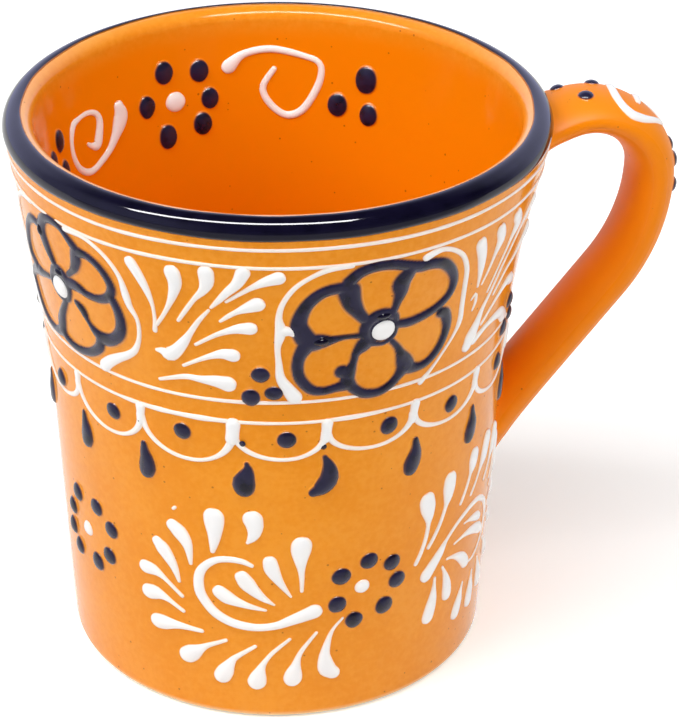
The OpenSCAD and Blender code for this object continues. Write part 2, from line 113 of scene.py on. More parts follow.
@dataclass(frozen=True)
class Value:
    """A number socket, so that shader maths reads as an expression."""

    tree: bpy.types.NodeTree
    socket: Socket

    def _math(self, operation: str, first: "Value | float", second: "Value | float") -> "Value":
        """Adds one Math node.

        Args:
            operation: The node's operation.
            first: A number or a socket.
            second: A number or a socket.

        Returns:
            The node's output.
        """
        node = self.tree.nodes.new("ShaderNodeMath")
        node.operation = operation
        for slot, item in zip(node.inputs, (first, second)):
            if isinstance(item, Value):
                self.tree.links.new(item.socket, slot)
            else:
                slot.default_value = item
        return Value(self.tree, node.outputs[0])

    def __add__(self, other: "Value | float") -> "Value":
        """Sum."""
        return self._math("ADD", self, other)

    def __radd__(self, other: float) -> "Value":
        """Sum, with the number first."""
        return self._math("ADD", other, self)

    def __sub__(self, other: "Value | float") -> "Value":
        """Difference."""
        return self._math("SUBTRACT", self, other)

    def __rsub__(self, other: float) -> "Value":
        """Difference, with the number first."""
        return self._math("SUBTRACT", other, self)

    def __mul__(self, other: "Value | float") -> "Value":
        """Product."""
        return self._math("MULTIPLY", self, other)

    def __rmul__(self, other: float) -> "Value":
        """Product, with the number first."""
        return self._math("MULTIPLY", other, self)

    def at_least(self, other: "Value | float") -> "Value":
        """The greater of two values."""
        return self._math("MAXIMUM", self, other)


class Recipe:
    """A node tree with short ways to add to it."""

    def __init__(self, tree: bpy.types.NodeTree) -> None:
        """Starts on a tree that holds nothing.

        Args:
            tree: The tree of a material or of the world.
        """
        self.tree = tree
        self.tree.nodes.clear()

    def node(self, kind: str, sockets: dict | None = None, **settings: object) -> bpy.types.Node:
        """Adds any node.

        Args:
            kind: The node's type.
            sockets: Values or links by the name or number of an input.
            settings: Properties that are set first.

        Returns:
            The node.
        """
        made = self.tree.nodes.new(kind)
        for name, setting in settings.items():
            setattr(made, name, setting)
        for name, item in (sockets or {}).items():
            source = item.socket if isinstance(item, Value) else item
            if isinstance(source, Socket):
                self.tree.links.new(source, made.inputs[name])
            else:
                made.inputs[name].default_value = source
        return made

    def value(self, node: bpy.types.Node, output: str | int = 0) -> Value:
        """Wraps a node's output."""
        return Value(self.tree, node.outputs[output])

    def attribute(self, name: str) -> Value:
        """Reads a number that the mesh carries."""
        return self.value(self.node("ShaderNodeAttribute", attribute_name=name), "Fac")

    def cloud(self, where: Socket, size_mm: float, detail: float = 2.0) -> Value:
        """Soft noise whose patches are about size_mm across."""
        sockets = {"Vector": where, "Scale": 1.0 / (size_mm * MM), "Detail": detail, "Roughness": 0.55}
        return self.value(self.node("ShaderNodeTexNoise", sockets), "Fac")

    def ramp(self, value: Value, low: float, high: float, start: float = 0.0, end: float = 1.0) -> Value:
        """Maps a range on to another, smoothly and without overshoot.

        Args:
            value: The value to map.
            low: Where the range starts.
            high: Where it ends.
            start: What low becomes.
            end: What high becomes.

        Returns:
            The mapped value.
        """
        sockets = {"Value": value, "From Min": low, "From Max": high, "To Min": start, "To Max": end}
        made = self.node("ShaderNodeMapRange", sockets, interpolation_type="SMOOTHSTEP", clamp=True)
        return self.value(made)

    def mix(self, share: Value, first: Colour | Socket, second: Colour | Socket) -> Socket:
        """Mixes two colours.

        Args:
            share: How much of the second colour.
            first: A colour or a colour socket.
            second: A colour or a colour socket.

        Returns:
            The mixed colour's socket.
        """
        colours = [(*item, 1.0) if isinstance(item, tuple) else item for item in (first, second)]
        made = self.node("ShaderNodeMix", {0: share, 6: colours[0], 7: colours[1]}, data_type="RGBA")
        return made.outputs[2]


@dataclass(frozen=True)
class OrangeGlaze:
    """Glossy orange glaze with clouding, fine grain and iron specks, a bare clay edge at the foot, and a
    painted pale sheen along the foot's edge and over the front of the lip.
    """

    thin: Colour = (0.93, 0.335, 0.022)
    rich: Colour = (0.88, 0.285, 0.009)
    inner: Colour = (0.93, 0.25, 0.001)
    strap: Colour = (0.97, 0.272, 0.001)
    # Pale colour painted as a reflection along the foot's edge and as a highlight over the front of the lip.
    edge: Colour = (1.0, 0.56, 0.25)
    speck: Colour = (0.3, 0.055, 0.003)
    bare: Colour = (0.95, 0.72, 0.38)
    cloud_mm: float = 16.0
    grain_mm: float = 1.1
    rich_from: float = 0.35
    rich_to: float = 0.65
    speck_gap_mm: float = 1.9
    speck_chance: float = 0.4
    speck_size: float = 0.14
    speck_edge: float = 0.06
    speck_strength: float = 0.6
    dimple_mm: float = 7.0
    dimple_share: float = 0.8
    ripple_mm: float = 1.6
    ripple_share: float = 0.12
    bump_strength: float = 0.5
    bare_below_mm: float = 0.55
    covered_above_mm: float = 1.0
    edge_patch_mm: float = 6.0
    edge_waver_mm: float = 0.7
    roughness: float = 0.14
    strap_satin: float = 0.34
    grain_satin: float = 0.08
    bare_satin: float = 0.55
    specular: float = 0.21

    def where(self, recipe: Recipe) -> Socket:
        """Object coordinates."""
        return recipe.node("ShaderNodeTexCoord").outputs["Object"]

    def colour(self, recipe: Recipe) -> Socket:
        """Works out the glaze's colour, which the slip's thin edges fade to.

        Args:
            recipe: The tree to add to.

        Returns:
            The colour's socket.
        """
        where = self.where(recipe)
        clouds = recipe.cloud(where, self.cloud_mm, 3.0)
        grain = recipe.cloud(where, self.grain_mm, 2.0)
        rich = recipe.ramp(clouds * 0.5 + grain * 0.5, self.rich_from, self.rich_to)
        deep = recipe.attribute("deep")
        outer = recipe.mix(rich, self.thin, self.rich)
        cup = recipe.mix(recipe.ramp(deep, 0.0, 0.5), outer, self.inner)
        both = recipe.mix(recipe.ramp(deep, 0.5, 1.0), cup, self.strap)
        # Painted sheen and highlight: the pale colour where the mesh marks the foot's edge and the front of
        # the lip.
        sheened = recipe.mix(recipe.attribute("pale_sheen_and_break"), both, self.edge)
        return recipe.mix(self._specks(recipe, where) * self.speck_strength, sheened, self.speck)

    def _specks(self, recipe: Recipe, where: Socket) -> Value:
        """Sows small dark spots, one in each cell and many too small to see.

        Args:
            recipe: The tree to add to.
            where: Object coordinates.

        Returns:
            1 on a spot.
        """
        sockets = {"Vector": where, "Scale": 1.0 / (self.speck_gap_mm * MM)}
        cells = recipe.node("ShaderNodeTexVoronoi", sockets)
        chance = recipe.value(recipe.node("ShaderNodeSeparateColor", {0: cells.outputs["Color"]}))
        size = recipe.ramp(chance, self.speck_chance, 1.0, 0.0, self.speck_size)
        near = size - recipe.value(cells, "Distance")
        return recipe.ramp(near, 0.0, self.speck_edge)

    def bump(self, recipe: Recipe, depth_mm: float = 0.09) -> Socket:
        """Adds the hand's faint unevenness under the gloss.

        Args:
            recipe: The tree to add to.
            depth_mm: How deep it goes.

        Returns:
            The normal's socket.
        """
        where = self.where(recipe)
        dimples = recipe.cloud(where, self.dimple_mm, 2.0) * self.dimple_share
        height = dimples + recipe.cloud(where, self.ripple_mm, 1.0) * self.ripple_share
        sockets = {"Strength": self.bump_strength, "Distance": depth_mm * MM, "Height": height}
        return recipe.node("ShaderNodeBump", sockets).outputs[0]

    def build(self) -> bpy.types.Material:
        """Makes the material.

        Returns:
            The glaze for the cup and the handle.
        """
        material, recipe = new_material(Slot.ORANGE.value)
        where = self.where(recipe)
        height = recipe.value(recipe.node("ShaderNodeSeparateXYZ", {0: where}), "Z")
        edge = height + (recipe.cloud(where, self.edge_patch_mm) - 0.5) * (self.edge_waver_mm * MM)
        dipped = recipe.ramp(edge, self.bare_below_mm * MM, self.covered_above_mm * MM, 1.0, 0.0)
        bare = dipped * (1.0 - recipe.attribute("glazed"))
        satin = recipe.ramp(recipe.attribute("deep"), 0.5, 0.7) * self.strap_satin
        gloss = self.roughness + satin + (recipe.cloud(where, self.grain_mm) - 0.5) * self.grain_satin
        sockets = {
            "Base Color": recipe.mix(bare, self.colour(recipe), self.bare),
            "Roughness": gloss + bare * self.bare_satin,
            "Specular IOR Level": self.specular,
            "Normal": self.bump(recipe),
        }
        surface(recipe, sockets)
        return material


@dataclass(frozen=True)
class SlipFinish:
    """Fired slip under the same gloss: thick slip shows its own colour, a thin edge fades to the glaze."""

    slot: Slot
    body: Colour
    shade: Colour
    sheer: Colour
    patch_mm: float
    roughness: float
    specular: float = 0.4
    patch_from: float = 0.25
    patch_to: float = 0.6
    even_where_thick: float = 0.8
    sheer_share: float = 0.6
    thick_roughness: float = 0.07
    grain_satin: float = 0.06
    bump_mm: float = 0.05

    def build(self, glaze: OrangeGlaze) -> bpy.types.Material:
        """Makes the material.

        Args:
            glaze: The glaze that the slip lies on.

        Returns:
            The slip's material.
        """
        material, recipe = new_material(self.slot.value)
        where = glaze.where(recipe)
        patch = recipe.ramp(recipe.cloud(where, self.patch_mm), self.patch_from, self.patch_to)
        thick = recipe.attribute("thick")
        slip = recipe.mix(patch * (1.0 - self.even_where_thick * thick), self.body, self.shade)
        grain = (recipe.cloud(where, glaze.grain_mm) - 0.5) * self.grain_satin
        thinned = recipe.mix(recipe.attribute("sheer") * self.sheer_share, slip, self.sheer)
        sockets = {
            "Base Color": recipe.mix(recipe.attribute("feather"), thinned, glaze.colour(recipe)),
            "Roughness": self.roughness - thick * (self.roughness - self.thick_roughness) + grain,
            "Specular IOR Level": self.specular,
            "Normal": glaze.bump(recipe, self.bump_mm),
        }
        surface(recipe, sockets)
        return material


def new_material(name: str) -> tuple[bpy.types.Material, Recipe]:
    """Starts an empty material.

    Args:
        name: Its name.

    Returns:
        The material and its recipe.
    """
    material = bpy.data.materials.new(name + "_finish")
    material.use_nodes = True
    return material, Recipe(material.node_tree)


def surface(recipe: Recipe, sockets: dict) -> None:
    """Ends a recipe in a glossy surface."""
    shader = recipe.node("ShaderNodeBsdfPrincipled", sockets)
    recipe.node("ShaderNodeOutputMaterial", {"Surface": shader.outputs[0]})


@dataclass(frozen=True)
class Finishes:
    """The three materials of the mug."""

    orange: bpy.types.Material
    white: bpy.types.Material
    navy: bpy.types.Material

    @classmethod
    def mixed(cls) -> "Finishes":
        """Makes all three.

        Returns:
            The materials.
        """
        glaze = OrangeGlaze()
        chalk, milk, peach = (0.98, 0.965, 0.945), (0.96, 0.955, 0.955), (1.0, 0.79, 0.63)
        ink, slate, violet = (0.0028, 0.0022, 0.0095), (0.015, 0.0125, 0.044), (0.024, 0.018, 0.05)
        white = SlipFinish(Slot.WHITE, chalk, milk, peach, patch_mm=5.0, roughness=0.26)
        navy = SlipFinish(Slot.NAVY, ink, slate, violet, patch_mm=3.0, roughness=0.24)
        return cls(glaze.build(), white.build(glaze), navy.build(glaze))

    def of(self, slot: Slot) -> bpy.types.Material:
        """The material of a slot."""
        return {Slot.ORANGE: self.orange, Slot.WHITE: self.white, Slot.NAVY: self.navy}[slot]


def shells_of(bm: bmesh.types.BMesh) -> list[list[bmesh.types.BMFace]]:
    """Sorts a mesh's faces into its connected shells.

    Args:
        bm: The mesh.

    Returns:
        The faces of each shell.
    """
    shells = []
    seen = set()
    for first in bm.faces:
        if first in seen:
            continue
        seen.add(first)
        shell = [first]
        for face in shell:
            for edge in face.edges:
                fresh = [other for other in edge.link_faces if other not in seen]
                seen.update(fresh)
                shell.extend(fresh)
        shells.append(shell)
    return shells


def volume_of(shell: list[bmesh.types.BMFace]) -> float:
    """Measures a closed shell.

    Args:
        shell: Its faces.

    Returns:
        Six times its volume, below 0 where its faces look inwards.
    """
    start = shell[0].verts[0].co
    total = 0.0
    for face in shell:
        corners = [vert.co - start for vert in face.verts]
        for second, third in zip(corners[1:], corners[2:]):
            total += corners[0].dot(second.cross(third))
    return total


def turn_outwards(bm: bmesh.types.BMesh) -> None:
    """Turns every closed shell of a mesh so that its faces look outwards.

    Args:
        bm: The mesh.
    """
    bmesh.ops.recalc_face_normals(bm, faces=bm.faces[:])
    inward = [face for shell in shells_of(bm) if volume_of(shell) < 0.0 for face in shell]
    bmesh.ops.reverse_faces(bm, faces=inward)


def add_piece(bm: bmesh.types.BMesh, name: str, finishes: Finishes, slot: Slot, *nodes: str) -> None:
    """Turns a mesh into a piece that stands for its CAD nodes.

    Args:
        bm: The finished mesh, in metres, in the part's frame.
        name: The piece's name.
        finishes: The materials.
        slot: The piece's material slot.
        nodes: CAD nodes that it replaces.
    """
    turn_outwards(bm)
    mesh = bpy.data.meshes.new(name)
    bm.to_mesh(mesh)
    bm.free()
    mesh.shade_smooth()
    mesh.materials.append(finishes.of(slot))
    piece = bpy.data.objects.new(name, mesh)
    bpy.context.scene.collection.objects.link(piece)
    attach(piece, BODY)
    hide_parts(*nodes)
    LOG.info("%s: %d faces for %s", name, len(mesh.polygons), ", ".join(nodes))


def ball_sweep(bm: bmesh.types.BMesh, rings: int, sides: int, at: Mover) -> None:
    """Draws a ball out along a line: its latitude runs along the line and its longitude round the section.

    Args:
        bm: The mesh to add to.
        rings: Rings from end to end.
        sides: Points in each ring.
        at: Moves a vertex, given its ring (0 to rings) and its angle round the section.
    """
    ball = bmesh.ops.create_uvsphere(bm, u_segments=sides, v_segments=rings, radius=1.0)
    for vert in ball["verts"]:
        latitude = math.acos(max(-1.0, min(1.0, -vert.co.z)))
        at(vert, round(latitude / math.pi * rings), math.atan2(vert.co.y, vert.co.x))


@dataclass(frozen=True)
class Wall:
    """The thrown wall, in millimetres: a slow lower taper, a flared top and a rounded lip."""

    rim_r: float
    height: float
    foot_r: float = 37.4
    waist_r: float = 40.6
    waist_at: float = 0.62
    blend_share: float = 0.1
    thickness: float = 4.9
    coat: float = 0.35
    throwing: float = 0.1
    swells: float = 1.4
    swell_height: float = 26.0
    pulled: float = 0.85
    pulled_from: float = 0.76
    pulled_to: float = 0.96
    tipped: float = 0.3
    tipped_from: float = 0.8

    @classmethod
    def from_frame(cls) -> "Wall":
        """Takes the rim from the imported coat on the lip."""
        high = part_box("rim_band")[1]
        return cls(rim_r=high.x / MM, height=high.z / MM)

    @property
    def lip_r(self) -> float:
        """Radius of the rounded lip."""
        return self.thickness / 2

    @property
    def lip_z(self) -> float:
        """Height of the lip's centre."""
        return self.height - self.coat - self.lip_r

    @property
    def lip_u(self) -> float:
        """Distance of the lip's centre from the axis."""
        return self.rim_r - self.coat - self.lip_r

    def plain_radius(self, z: float) -> float:
        """Works out the outside of a perfectly round wall.

        Args:
            z: Height in millimetres.

        Returns:
            The radius there.
        """
        waist_z = self.waist_at * self.height
        blend = self.blend_share * self.height
        lower = (self.waist_r - self.foot_r) / waist_z
        upper = (self.rim_r - self.coat - self.waist_r) / (self.lip_z - waist_z)
        above = z - waist_z
        flare = max(0.0, above) if abs(above) > blend else (above + blend) ** 2 / (4 * blend)
        return self.waist_r + lower * above + (upper - lower) * flare

    def unevenness(self, angle: float, z: float) -> float:
        """Tells how far the thrower's hand left the wall from round; the handle pulled the lip out a little.

        Args:
            angle: Round the axis from the handle, in radians.
            z: Height in millimetres.

        Returns:
            Millimetres outwards.
        """
        spot = (self.swells * math.cos(angle), self.swells * math.sin(angle), z / self.swell_height)
        hand = noise.noise(Vector(spot))
        beside = max(0.0, math.cos(from_front(angle))) ** 2
        near_lip = smoothstep(self.pulled_from, self.pulled_to, z / self.height)
        return self.throwing * hand + self.pulled * beside * near_lip

    def rise(self, angle: float, z: float) -> float:
        """How far the lip stands above level; it is a little high at the front."""
        front = max(0.0, -math.sin(from_front(angle))) ** 1.5
        return self.tipped * front * smoothstep(self.tipped_from, 1.0, z / self.height)

    def radius(self, angle: float, z: float) -> float:
        """Outside radius of the wall as it was thrown."""
        return self.plain_radius(z) + self.unevenness(angle, z)

    def point(self, angle: float, z: float, lift: float, inside: bool = False) -> Vector:
        """A point on the wall.

        Args:
            angle: Round the axis from the handle, in radians.
            z: Height in millimetres.
            lift: Distance off the clay in millimetres.
            inside: On the inside instead.

        Returns:
            The point in metres.
        """
        radius = self.radius(angle, z) + (-self.thickness - lift if inside else lift)
        return Vector((radius * math.cos(angle), radius * math.sin(angle), z + self.rise(angle, z))) * MM


@dataclass(frozen=True)
class Belt:
    """Where a flat drawing lies on the wall."""

    wall: Wall
    at: float
    z: float
    turn: float
    inside: bool = False
    lifted: float = 0.0

    def __call__(self, x: float, y: float, lift: float) -> Vector:
        """Wraps a point of the drawing round the wall.

        Args:
            x: Millimetres to the right in the drawing.
            y: Millimetres up.
            lift: Millimetres off the clay.

        Returns:
            The point in metres.
        """
        angle = self.at + x * (-self.turn if self.inside else self.turn)
        return self.wall.point(math.radians(angle), self.z + y, lift + self.lifted, self.inside)


class Line:
    """A smooth line through given points, each x, y and width."""

    SPAN_STEPS = 6
    LOOK = 0.15

    def __init__(self, nodes: Sequence[Node]) -> None:
        """Rounds the line off.

        Args:
            nodes: Its points in a flat drawing, in millimetres.
        """
        points = np.array(nodes, float)
        self.nodes = self._rounded(points) if len(points) > 2 else points
        steps = np.hypot(*np.diff(self.nodes[:, :2], axis=0).T)
        self.run = np.concatenate([[0.0], np.cumsum(steps)])
        self.length = float(self.run[-1])

    def _rounded(self, points: np.ndarray) -> np.ndarray:
        """Passes a spline through the points.

        Args:
            points: Rows of x, y and width.

        Returns:
            More rows, close enough to look round.
        """
        ends = np.vstack([points[:1], points, points[-1:]])
        shares = np.arange(self.SPAN_STEPS) / self.SPAN_STEPS
        found = []
        for a, b, c, d in zip(ends, ends[1:], ends[2:], ends[3:]):
            for t in shares:
                bend = (2 * a - 5 * b + 4 * c - d) * t * t + (3 * b - a - 3 * c + d) * t**3
                found.append(0.5 * (2 * b + (c - a) * t + bend))
        return np.array([*found, points[-1]])

    def sample(self, places: np.ndarray) -> np.ndarray:
        """Looks the line up; it runs on straight past its ends.

        Args:
            places: Millimetres from its start.

        Returns:
            A row for each place: x, y, width, and the direction's x and y.
        """
        held = np.clip(places, 0.0, self.length)
        rows = self._at(held)
        ahead = (self._at(held + self.LOOK) - self._at(held - self.LOOK))[:, :2]
        way = ahead / np.maximum(np.hypot(*ahead.T), 1e-9)[:, None]
        rows[:, :2] += way * (places - held)[:, None]
        return np.hstack([rows, way])

    def _at(self, places: np.ndarray) -> np.ndarray:
        """The x, y and width at places, which stop at the line's ends."""
        return np.column_stack([np.interp(places, self.run, column) for column in self.nodes.T])


def stroke(head: Pair, tail: Pair, width: float, bend: float, taper: Taper) -> list[Node]:
    """A brush stroke with a round head that thins to its tail.

    Args:
        head: Where it starts.
        tail: Where it ends.
        width: Width at its head.
        bend: Sideways bend, as a share of its length.
        taper: How it thins.

    Returns:
        Its points.
    """
    start, end, left = taper.value
    dx, dy = tail[0] - head[0], tail[1] - head[1]
    middle = ((head[0] + tail[0]) / 2 + bend * dy, (head[1] + tail[1]) / 2 - bend * dx)
    nodes = []
    for t in np.linspace(0.0, 1.0, 9).tolist():
        x, y = ((1 - t) ** 2 * h + 2 * t * (1 - t) * m + t * t * e for h, m, e in zip(head, middle, tail))
        nodes.append((x, y, width * (left + (1 - left) * (1 - smoothstep(start, end, t)))))
    return nodes


def turned(nodes: Sequence[Node], degrees: float) -> list[Node]:
    """Turns a drawing about its origin."""
    c, s = math.cos(math.radians(degrees)), math.sin(math.radians(degrees))
    return [(x * c - y * s, x * s + y * c, width) for x, y, width in nodes]


@dataclass(frozen=True)
class Slip:
    """How a slip stands on the clay, in millimetres."""

    slot: Slot
    height: float
    full_width: float
    skirt: float
    film: float
    fade: float
    flat: float
    soft: float
    sunk: float = 0.3
    dip: float = 0.02
    solid: float = 0.42
    sheer_from: float = 0.3

    def dome(self, share: float | np.ndarray, width: float | np.ndarray) -> float | np.ndarray:
        """Height of a line or drop of a width, at a share of the way out to its edge."""
        full = self.height * np.minimum(1.0, width / self.full_width)
        return full * np.maximum(0.0, 1.0 - share**self.flat) ** self.soft

    def feather(self, lift: float) -> float:
        """How far a thin edge has faded into the glaze."""
        return 1.0 - smoothstep(0.0, self.fade, lift)

    def sheer(self, lift: float) -> float:
        """How far the glaze below shines through slip of a thickness."""
        return 1.0 - smoothstep(self.sheer_from * self.solid, self.solid, lift)


WHITE_LINE = Slip(Slot.WHITE, 0.55, full_width=2.2, skirt=0.12, film=0.05, fade=0.1, flat=2.5, soft=0.75)
WHITE_EYE = Slip(Slot.WHITE, 0.6, full_width=2.2, skirt=0.04, film=0.02, fade=0.03, flat=2.5, soft=0.7)
NAVY_DROP = Slip(Slot.NAVY, 0.66, full_width=3.0, skirt=0.3, film=0.1, fade=0.26, flat=2.0, soft=0.62)
NAVY_WASH = Slip(Slot.NAVY, 0.42, full_width=2.0, skirt=0.36, film=0.12, fade=0.22, flat=2.6, soft=1.25)


class Deposit:
    """One piece of slip while it is trailed on to the clay."""

    SIDES = 20
    STEP = 0.5
    CROWD = 0.09
    DOT_SIDES = 24
    DOT_RINGS = 14
    MESH = 0.21
    MIN_RINGS = 14
    WAVER_MM = 2.4
    SKIRT_SIDES = 4.0
    UNDERCUT = 3.0
    CAP_POWER = 0.8
    DROP_WAVERS = ((0.07, 1.1), (0.05, 1.3))
    DROP_SEED = 40
    TRIM_SHARE = 0.9
    JOIN_POWER = 5
    JOIN_TOP = 1.1

    def __init__(self, slip: Slip, deep: float = 0.0) -> None:
        """Starts an empty piece.

        Args:
            slip: The slip in the trailer.
            deep: How deep the glaze below is: 0 outside, a half inside the cup, 1 on the handle.
        """
        self.slip = slip
        self.deep = deep
        self.bm = bmesh.new()
        new_layer = self.bm.verts.layers.float.new
        self.layers = [new_layer(name) for name in ("feather", "sheer", "deep", "thick")]
        self.thick = 0.0
        self.on_slip = False
        self.count = 0

    def _set(self, vert: Vert, place: Place, x: float, y: float, lift: float) -> None:
        """Puts a vertex on the clay and notes how thin the slip is there.

        Args:
            vert: The vertex.
            place: The surface.
            x: Its place in the drawing.
            y: Its place in the drawing.
            lift: Millimetres off the clay.
        """
        vert.co = place(x, y, lift)
        thin = (0.0, 0.0) if self.on_slip else (self.slip.feather(lift), self.slip.sheer(lift))
        for layer, number in zip(self.layers, (*thin, self.deep, self.thick)):
            vert[layer] = number

    def _section(self, angle: float, core: float, outer: float, width: float, cap: float) -> Pair:
        """A point of the domed section across a line.

        Args:
            angle: Round the section, with the upper half from 0 to a half turn.
            core: Half the width of the thick slip.
            outer: Half the width with its thin skirt.
            width: The line's full width.
            cap: Share of the height that is left near the line's ends.

        Returns:
            The offset across the line and the lift.
        """
        if angle < 0.0:
            return outer * math.cos(angle), -self.slip.sunk * min(1.0, -self.UNDERCUT * math.sin(angle))
        share = min(angle, math.pi - angle) / (math.pi / 2)
        side = 1.0 if angle < math.pi / 2 else -1.0
        skirt = self.SKIRT_SIDES / self.SIDES
        if share < skirt:
            across = outer - (outer - core) * share / skirt
        else:
            across = core * math.cos((share - skirt) / (1.0 - skirt) * math.pi / 2)
        rise = float(self.slip.dome(min(1.0, across / max(core, 1e-6)), width)) * cap**self.CAP_POWER
        film = self.slip.film * (1.0 - (across / max(outer, 1e-6)) ** 2)
        return side * across, rise + film * cap - self.slip.dip

    def line(self, nodes: Sequence[Node], place: Place, uneven: float = 0.05) -> None:
        """Trails a line with round ends.

        Args:
            nodes: Its points, each x, y and width.
            place: The surface it lies on.
            uneven: Share by which its width wavers.
        """
        path = Line(nodes)
        self.count += 1
        skirt = self.slip.skirt
        lead, trail = nodes[0][2] / 2 + skirt, nodes[-1][2] / 2 + skirt
        total = lead + path.length + trail
        rings = max(self.MIN_RINGS, round(total / self.STEP))
        shares = np.arange(rings + 1) / rings
        spots = total * (shares - self.CROWD * np.sin(2 * np.pi * shares)) - lead
        over = np.maximum(0.0, np.maximum(-spots / lead, (spots - path.length) / trail))
        caps = np.sqrt(np.maximum(0.0, 1.0 - over**2))
        wide = [1.0 + uneven * waver(float(spot) / self.WAVER_MM, self.count) for spot in spots]
        rows = np.column_stack([path.sample(spots), caps, wide]).tolist()

        def at(vert: Vert, ring: int, angle: float) -> None:
            """Moves a vertex of the ball on to the line.

            Args:
                vert: The vertex.
                ring: Its ring along the line.
                angle: Its angle round the section.
            """
            x, y, width, dx, dy, cap, swell = rows[ring]
            outer = (width * swell / 2 + skirt) * cap
            core = outer * width / (width + 2 * skirt)
            across, lift = self._section(angle, core, outer, width, cap)
            self._set(vert, place, x - dy * across, y + dx * across, lift)

        ball_sweep(self.bm, rings, self.SIDES, at)

    def drop(self, x: float, y: float, wide: float, tall: float, place: Place) -> None:
        """Lets one drop fall.

        Args:
            x: Its middle in the drawing.
            y: Its middle in the drawing.
            wide: Its width.
            tall: Its height in the drawing.
            place: The surface it lies on.
        """
        self.count += 1
        rings = self.DOT_RINGS
        crown, edge = rings // 2, rings // 2 + 2
        slip = self.slip
        (across, near), (along, far) = self.DROP_WAVERS
        seed = self.DROP_SEED + self.count

        def at(vert: Vert, ring: int, angle: float) -> None:
            """Moves a vertex of the ball on to the drop: its crown, its skirt or its underside.

            Args:
                vert: The vertex.
                ring: Its ring, from the underside to the crown.
                angle: Its angle round the drop.
            """
            step = rings - ring
            c, s = math.cos(angle), math.sin(angle)
            outline = 1.0 + across * waver(c * near, self.count) + along * waver(s * far, seed)
            share = math.sin(min(1.0, step / crown) * math.pi / 2)
            skirt = min(1.0, max(0.0, (step - crown) / (edge - crown)))
            lift = float(slip.dome(share, (wide + tall) / 2)) + slip.film * (1.0 - skirt) - slip.dip
            under = min(1.0, (rings - step) / (rings - edge))
            reach = [(size / 2 * share * outline + slip.skirt * skirt) * under for size in (wide, tall)]
            self._set(vert, place, x + reach[0] * c, y + reach[1] * s, lift if step <= edge else -slip.sunk)

        ball_sweep(self.bm, rings, self.DOT_SIDES, at)

    def relief(self, lines: Drawing, place: Place) -> None:
        """Lays lines that run into each other as one deposit.

        Args:
            lines: The lines' points.
            place: The surface they lie on.
        """
        paths = [Line(nodes).nodes for nodes in lines]
        every = np.vstack(paths)
        skirt, step = self.slip.skirt, self.MESH
        margin = every[:, 2].max() / 2 + skirt + 2 * step
        low, high = every[:, :2].min(0) - margin, every[:, :2].max(0) + margin
        counts = [int(count) for count in np.ceil((high - low) / step)]
        grid = bmesh.ops.create_grid(self.bm, x_segments=counts[0], y_segments=counts[1], size=1.0)
        verts = grid["verts"]
        flat = np.array([vert.co.xy for vert in verts]) * (high - low) / 2 + (high + low) / 2
        gap, lift, away = self._field(flat, paths)
        flat = flat - away * np.maximum(0.0, gap - skirt)[:, None]
        film = self.slip.film * (1.0 - np.clip(gap / skirt, 0.0, 1.0)) - self.slip.dip
        for vert, (x, y), rise in zip(verts, flat, lift + film):
            vert.co = (x, y, rise)
        self._trim([vert for vert, space in zip(verts, gap) if space > skirt + self.TRIM_SHARE * step])
        shell = bmesh.ops.extrude_face_region(self.bm, geom=self.bm.faces[:], use_keep_orig=True)
        for part in shell["geom"]:
            if isinstance(part, Vert):
                part.co.z = -self.slip.sunk
        for vert in self.bm.verts:
            x, y, rise = vert.co
            self._set(vert, place, x, y, rise)

    def _trim(self, far: list[Vert]) -> None:
        """Cuts a sheet down to the slip, and leaves no two corners that touch only at a point.

        Args:
            far: The vertices that lie off the slip.
        """
        while far:
            bmesh.ops.delete(self.bm, geom=far, context="VERTS")
            loose = [edge for edge in self.bm.edges if not edge.link_faces]
            bmesh.ops.delete(self.bm, geom=loose, context="EDGES")
            far = [vert for vert in self.bm.verts if self._pinched(vert)]

    @staticmethod
    def _pinched(vert: Vert) -> bool:
        """True for a vertex without a face, or where two corners touch only at a point."""
        return not vert.link_faces or sum(edge.is_boundary for edge in vert.link_edges) > 2

    def _field(
        self, flat: np.ndarray, paths: Sequence[np.ndarray]
    ) -> tuple[np.ndarray, np.ndarray, np.ndarray]:
        """Measures points of a drawing against lines.

        Args:
            flat: The points.
            paths: The lines' points, each x, y and width.

        Returns:
            Each point's gap to the nearest edge (below 0 on a line), its lift, and the way out from the line.
        """
        best = np.full(len(flat), 1e9)
        away = np.zeros_like(flat)
        raised = np.zeros(len(flat))
        for path in paths:
            start, span = path[:-1], np.diff(path, axis=0)
            offset = flat[:, None, :] - start[None, :, :2]
            size = (span[:, :2] ** 2).sum(1)
            share = np.clip((offset * span[None, :, :2]).sum(2) / np.maximum(size, 1e-9), 0.0, 1.0)
            out = offset - share[:, :, None] * span[None, :, :2]
            distance = np.hypot(out[:, :, 0], out[:, :, 1])
            half = (start[None, :, 2] + share * span[None, :, 2]) / 2
            pick = (np.arange(len(flat)), np.argmin(distance - half, axis=1))
            gap = (distance - half)[pick]
            edge = np.minimum(1.0, distance[pick] / half[pick])
            raised += self.slip.dome(edge, 2 * half[pick]) ** self.JOIN_POWER
            closer = gap < best
            best = np.where(closer, gap, best)
            away[closer] = (out[pick] / np.maximum(distance[pick], 1e-9)[:, None])[closer]
        joined = np.minimum(raised ** (1.0 / self.JOIN_POWER), self.JOIN_TOP * self.slip.height)
        return best, joined, away

    def finish(self, node: str, finishes: Finishes) -> None:
        """Turns the slip into a piece that stands for a CAD node and is named after it."""
        add_piece(self.bm, "slip_" + node, finishes, self.slip.slot, node)


def turn_on_wheel(bm: bmesh.types.BMesh, geom: list, steps: int) -> None:
    """Spins a section once round the mug's axis.

    Args:
        bm: The mesh.
        geom: The section's vertices and edges.
        steps: Copies in the full turn.
    """
    full = {"cent": (0, 0, 0), "axis": (0, 0, 1), "angle": 2 * math.pi}
    bmesh.ops.spin(bm, geom=geom, steps=steps, use_merge=True, **full)


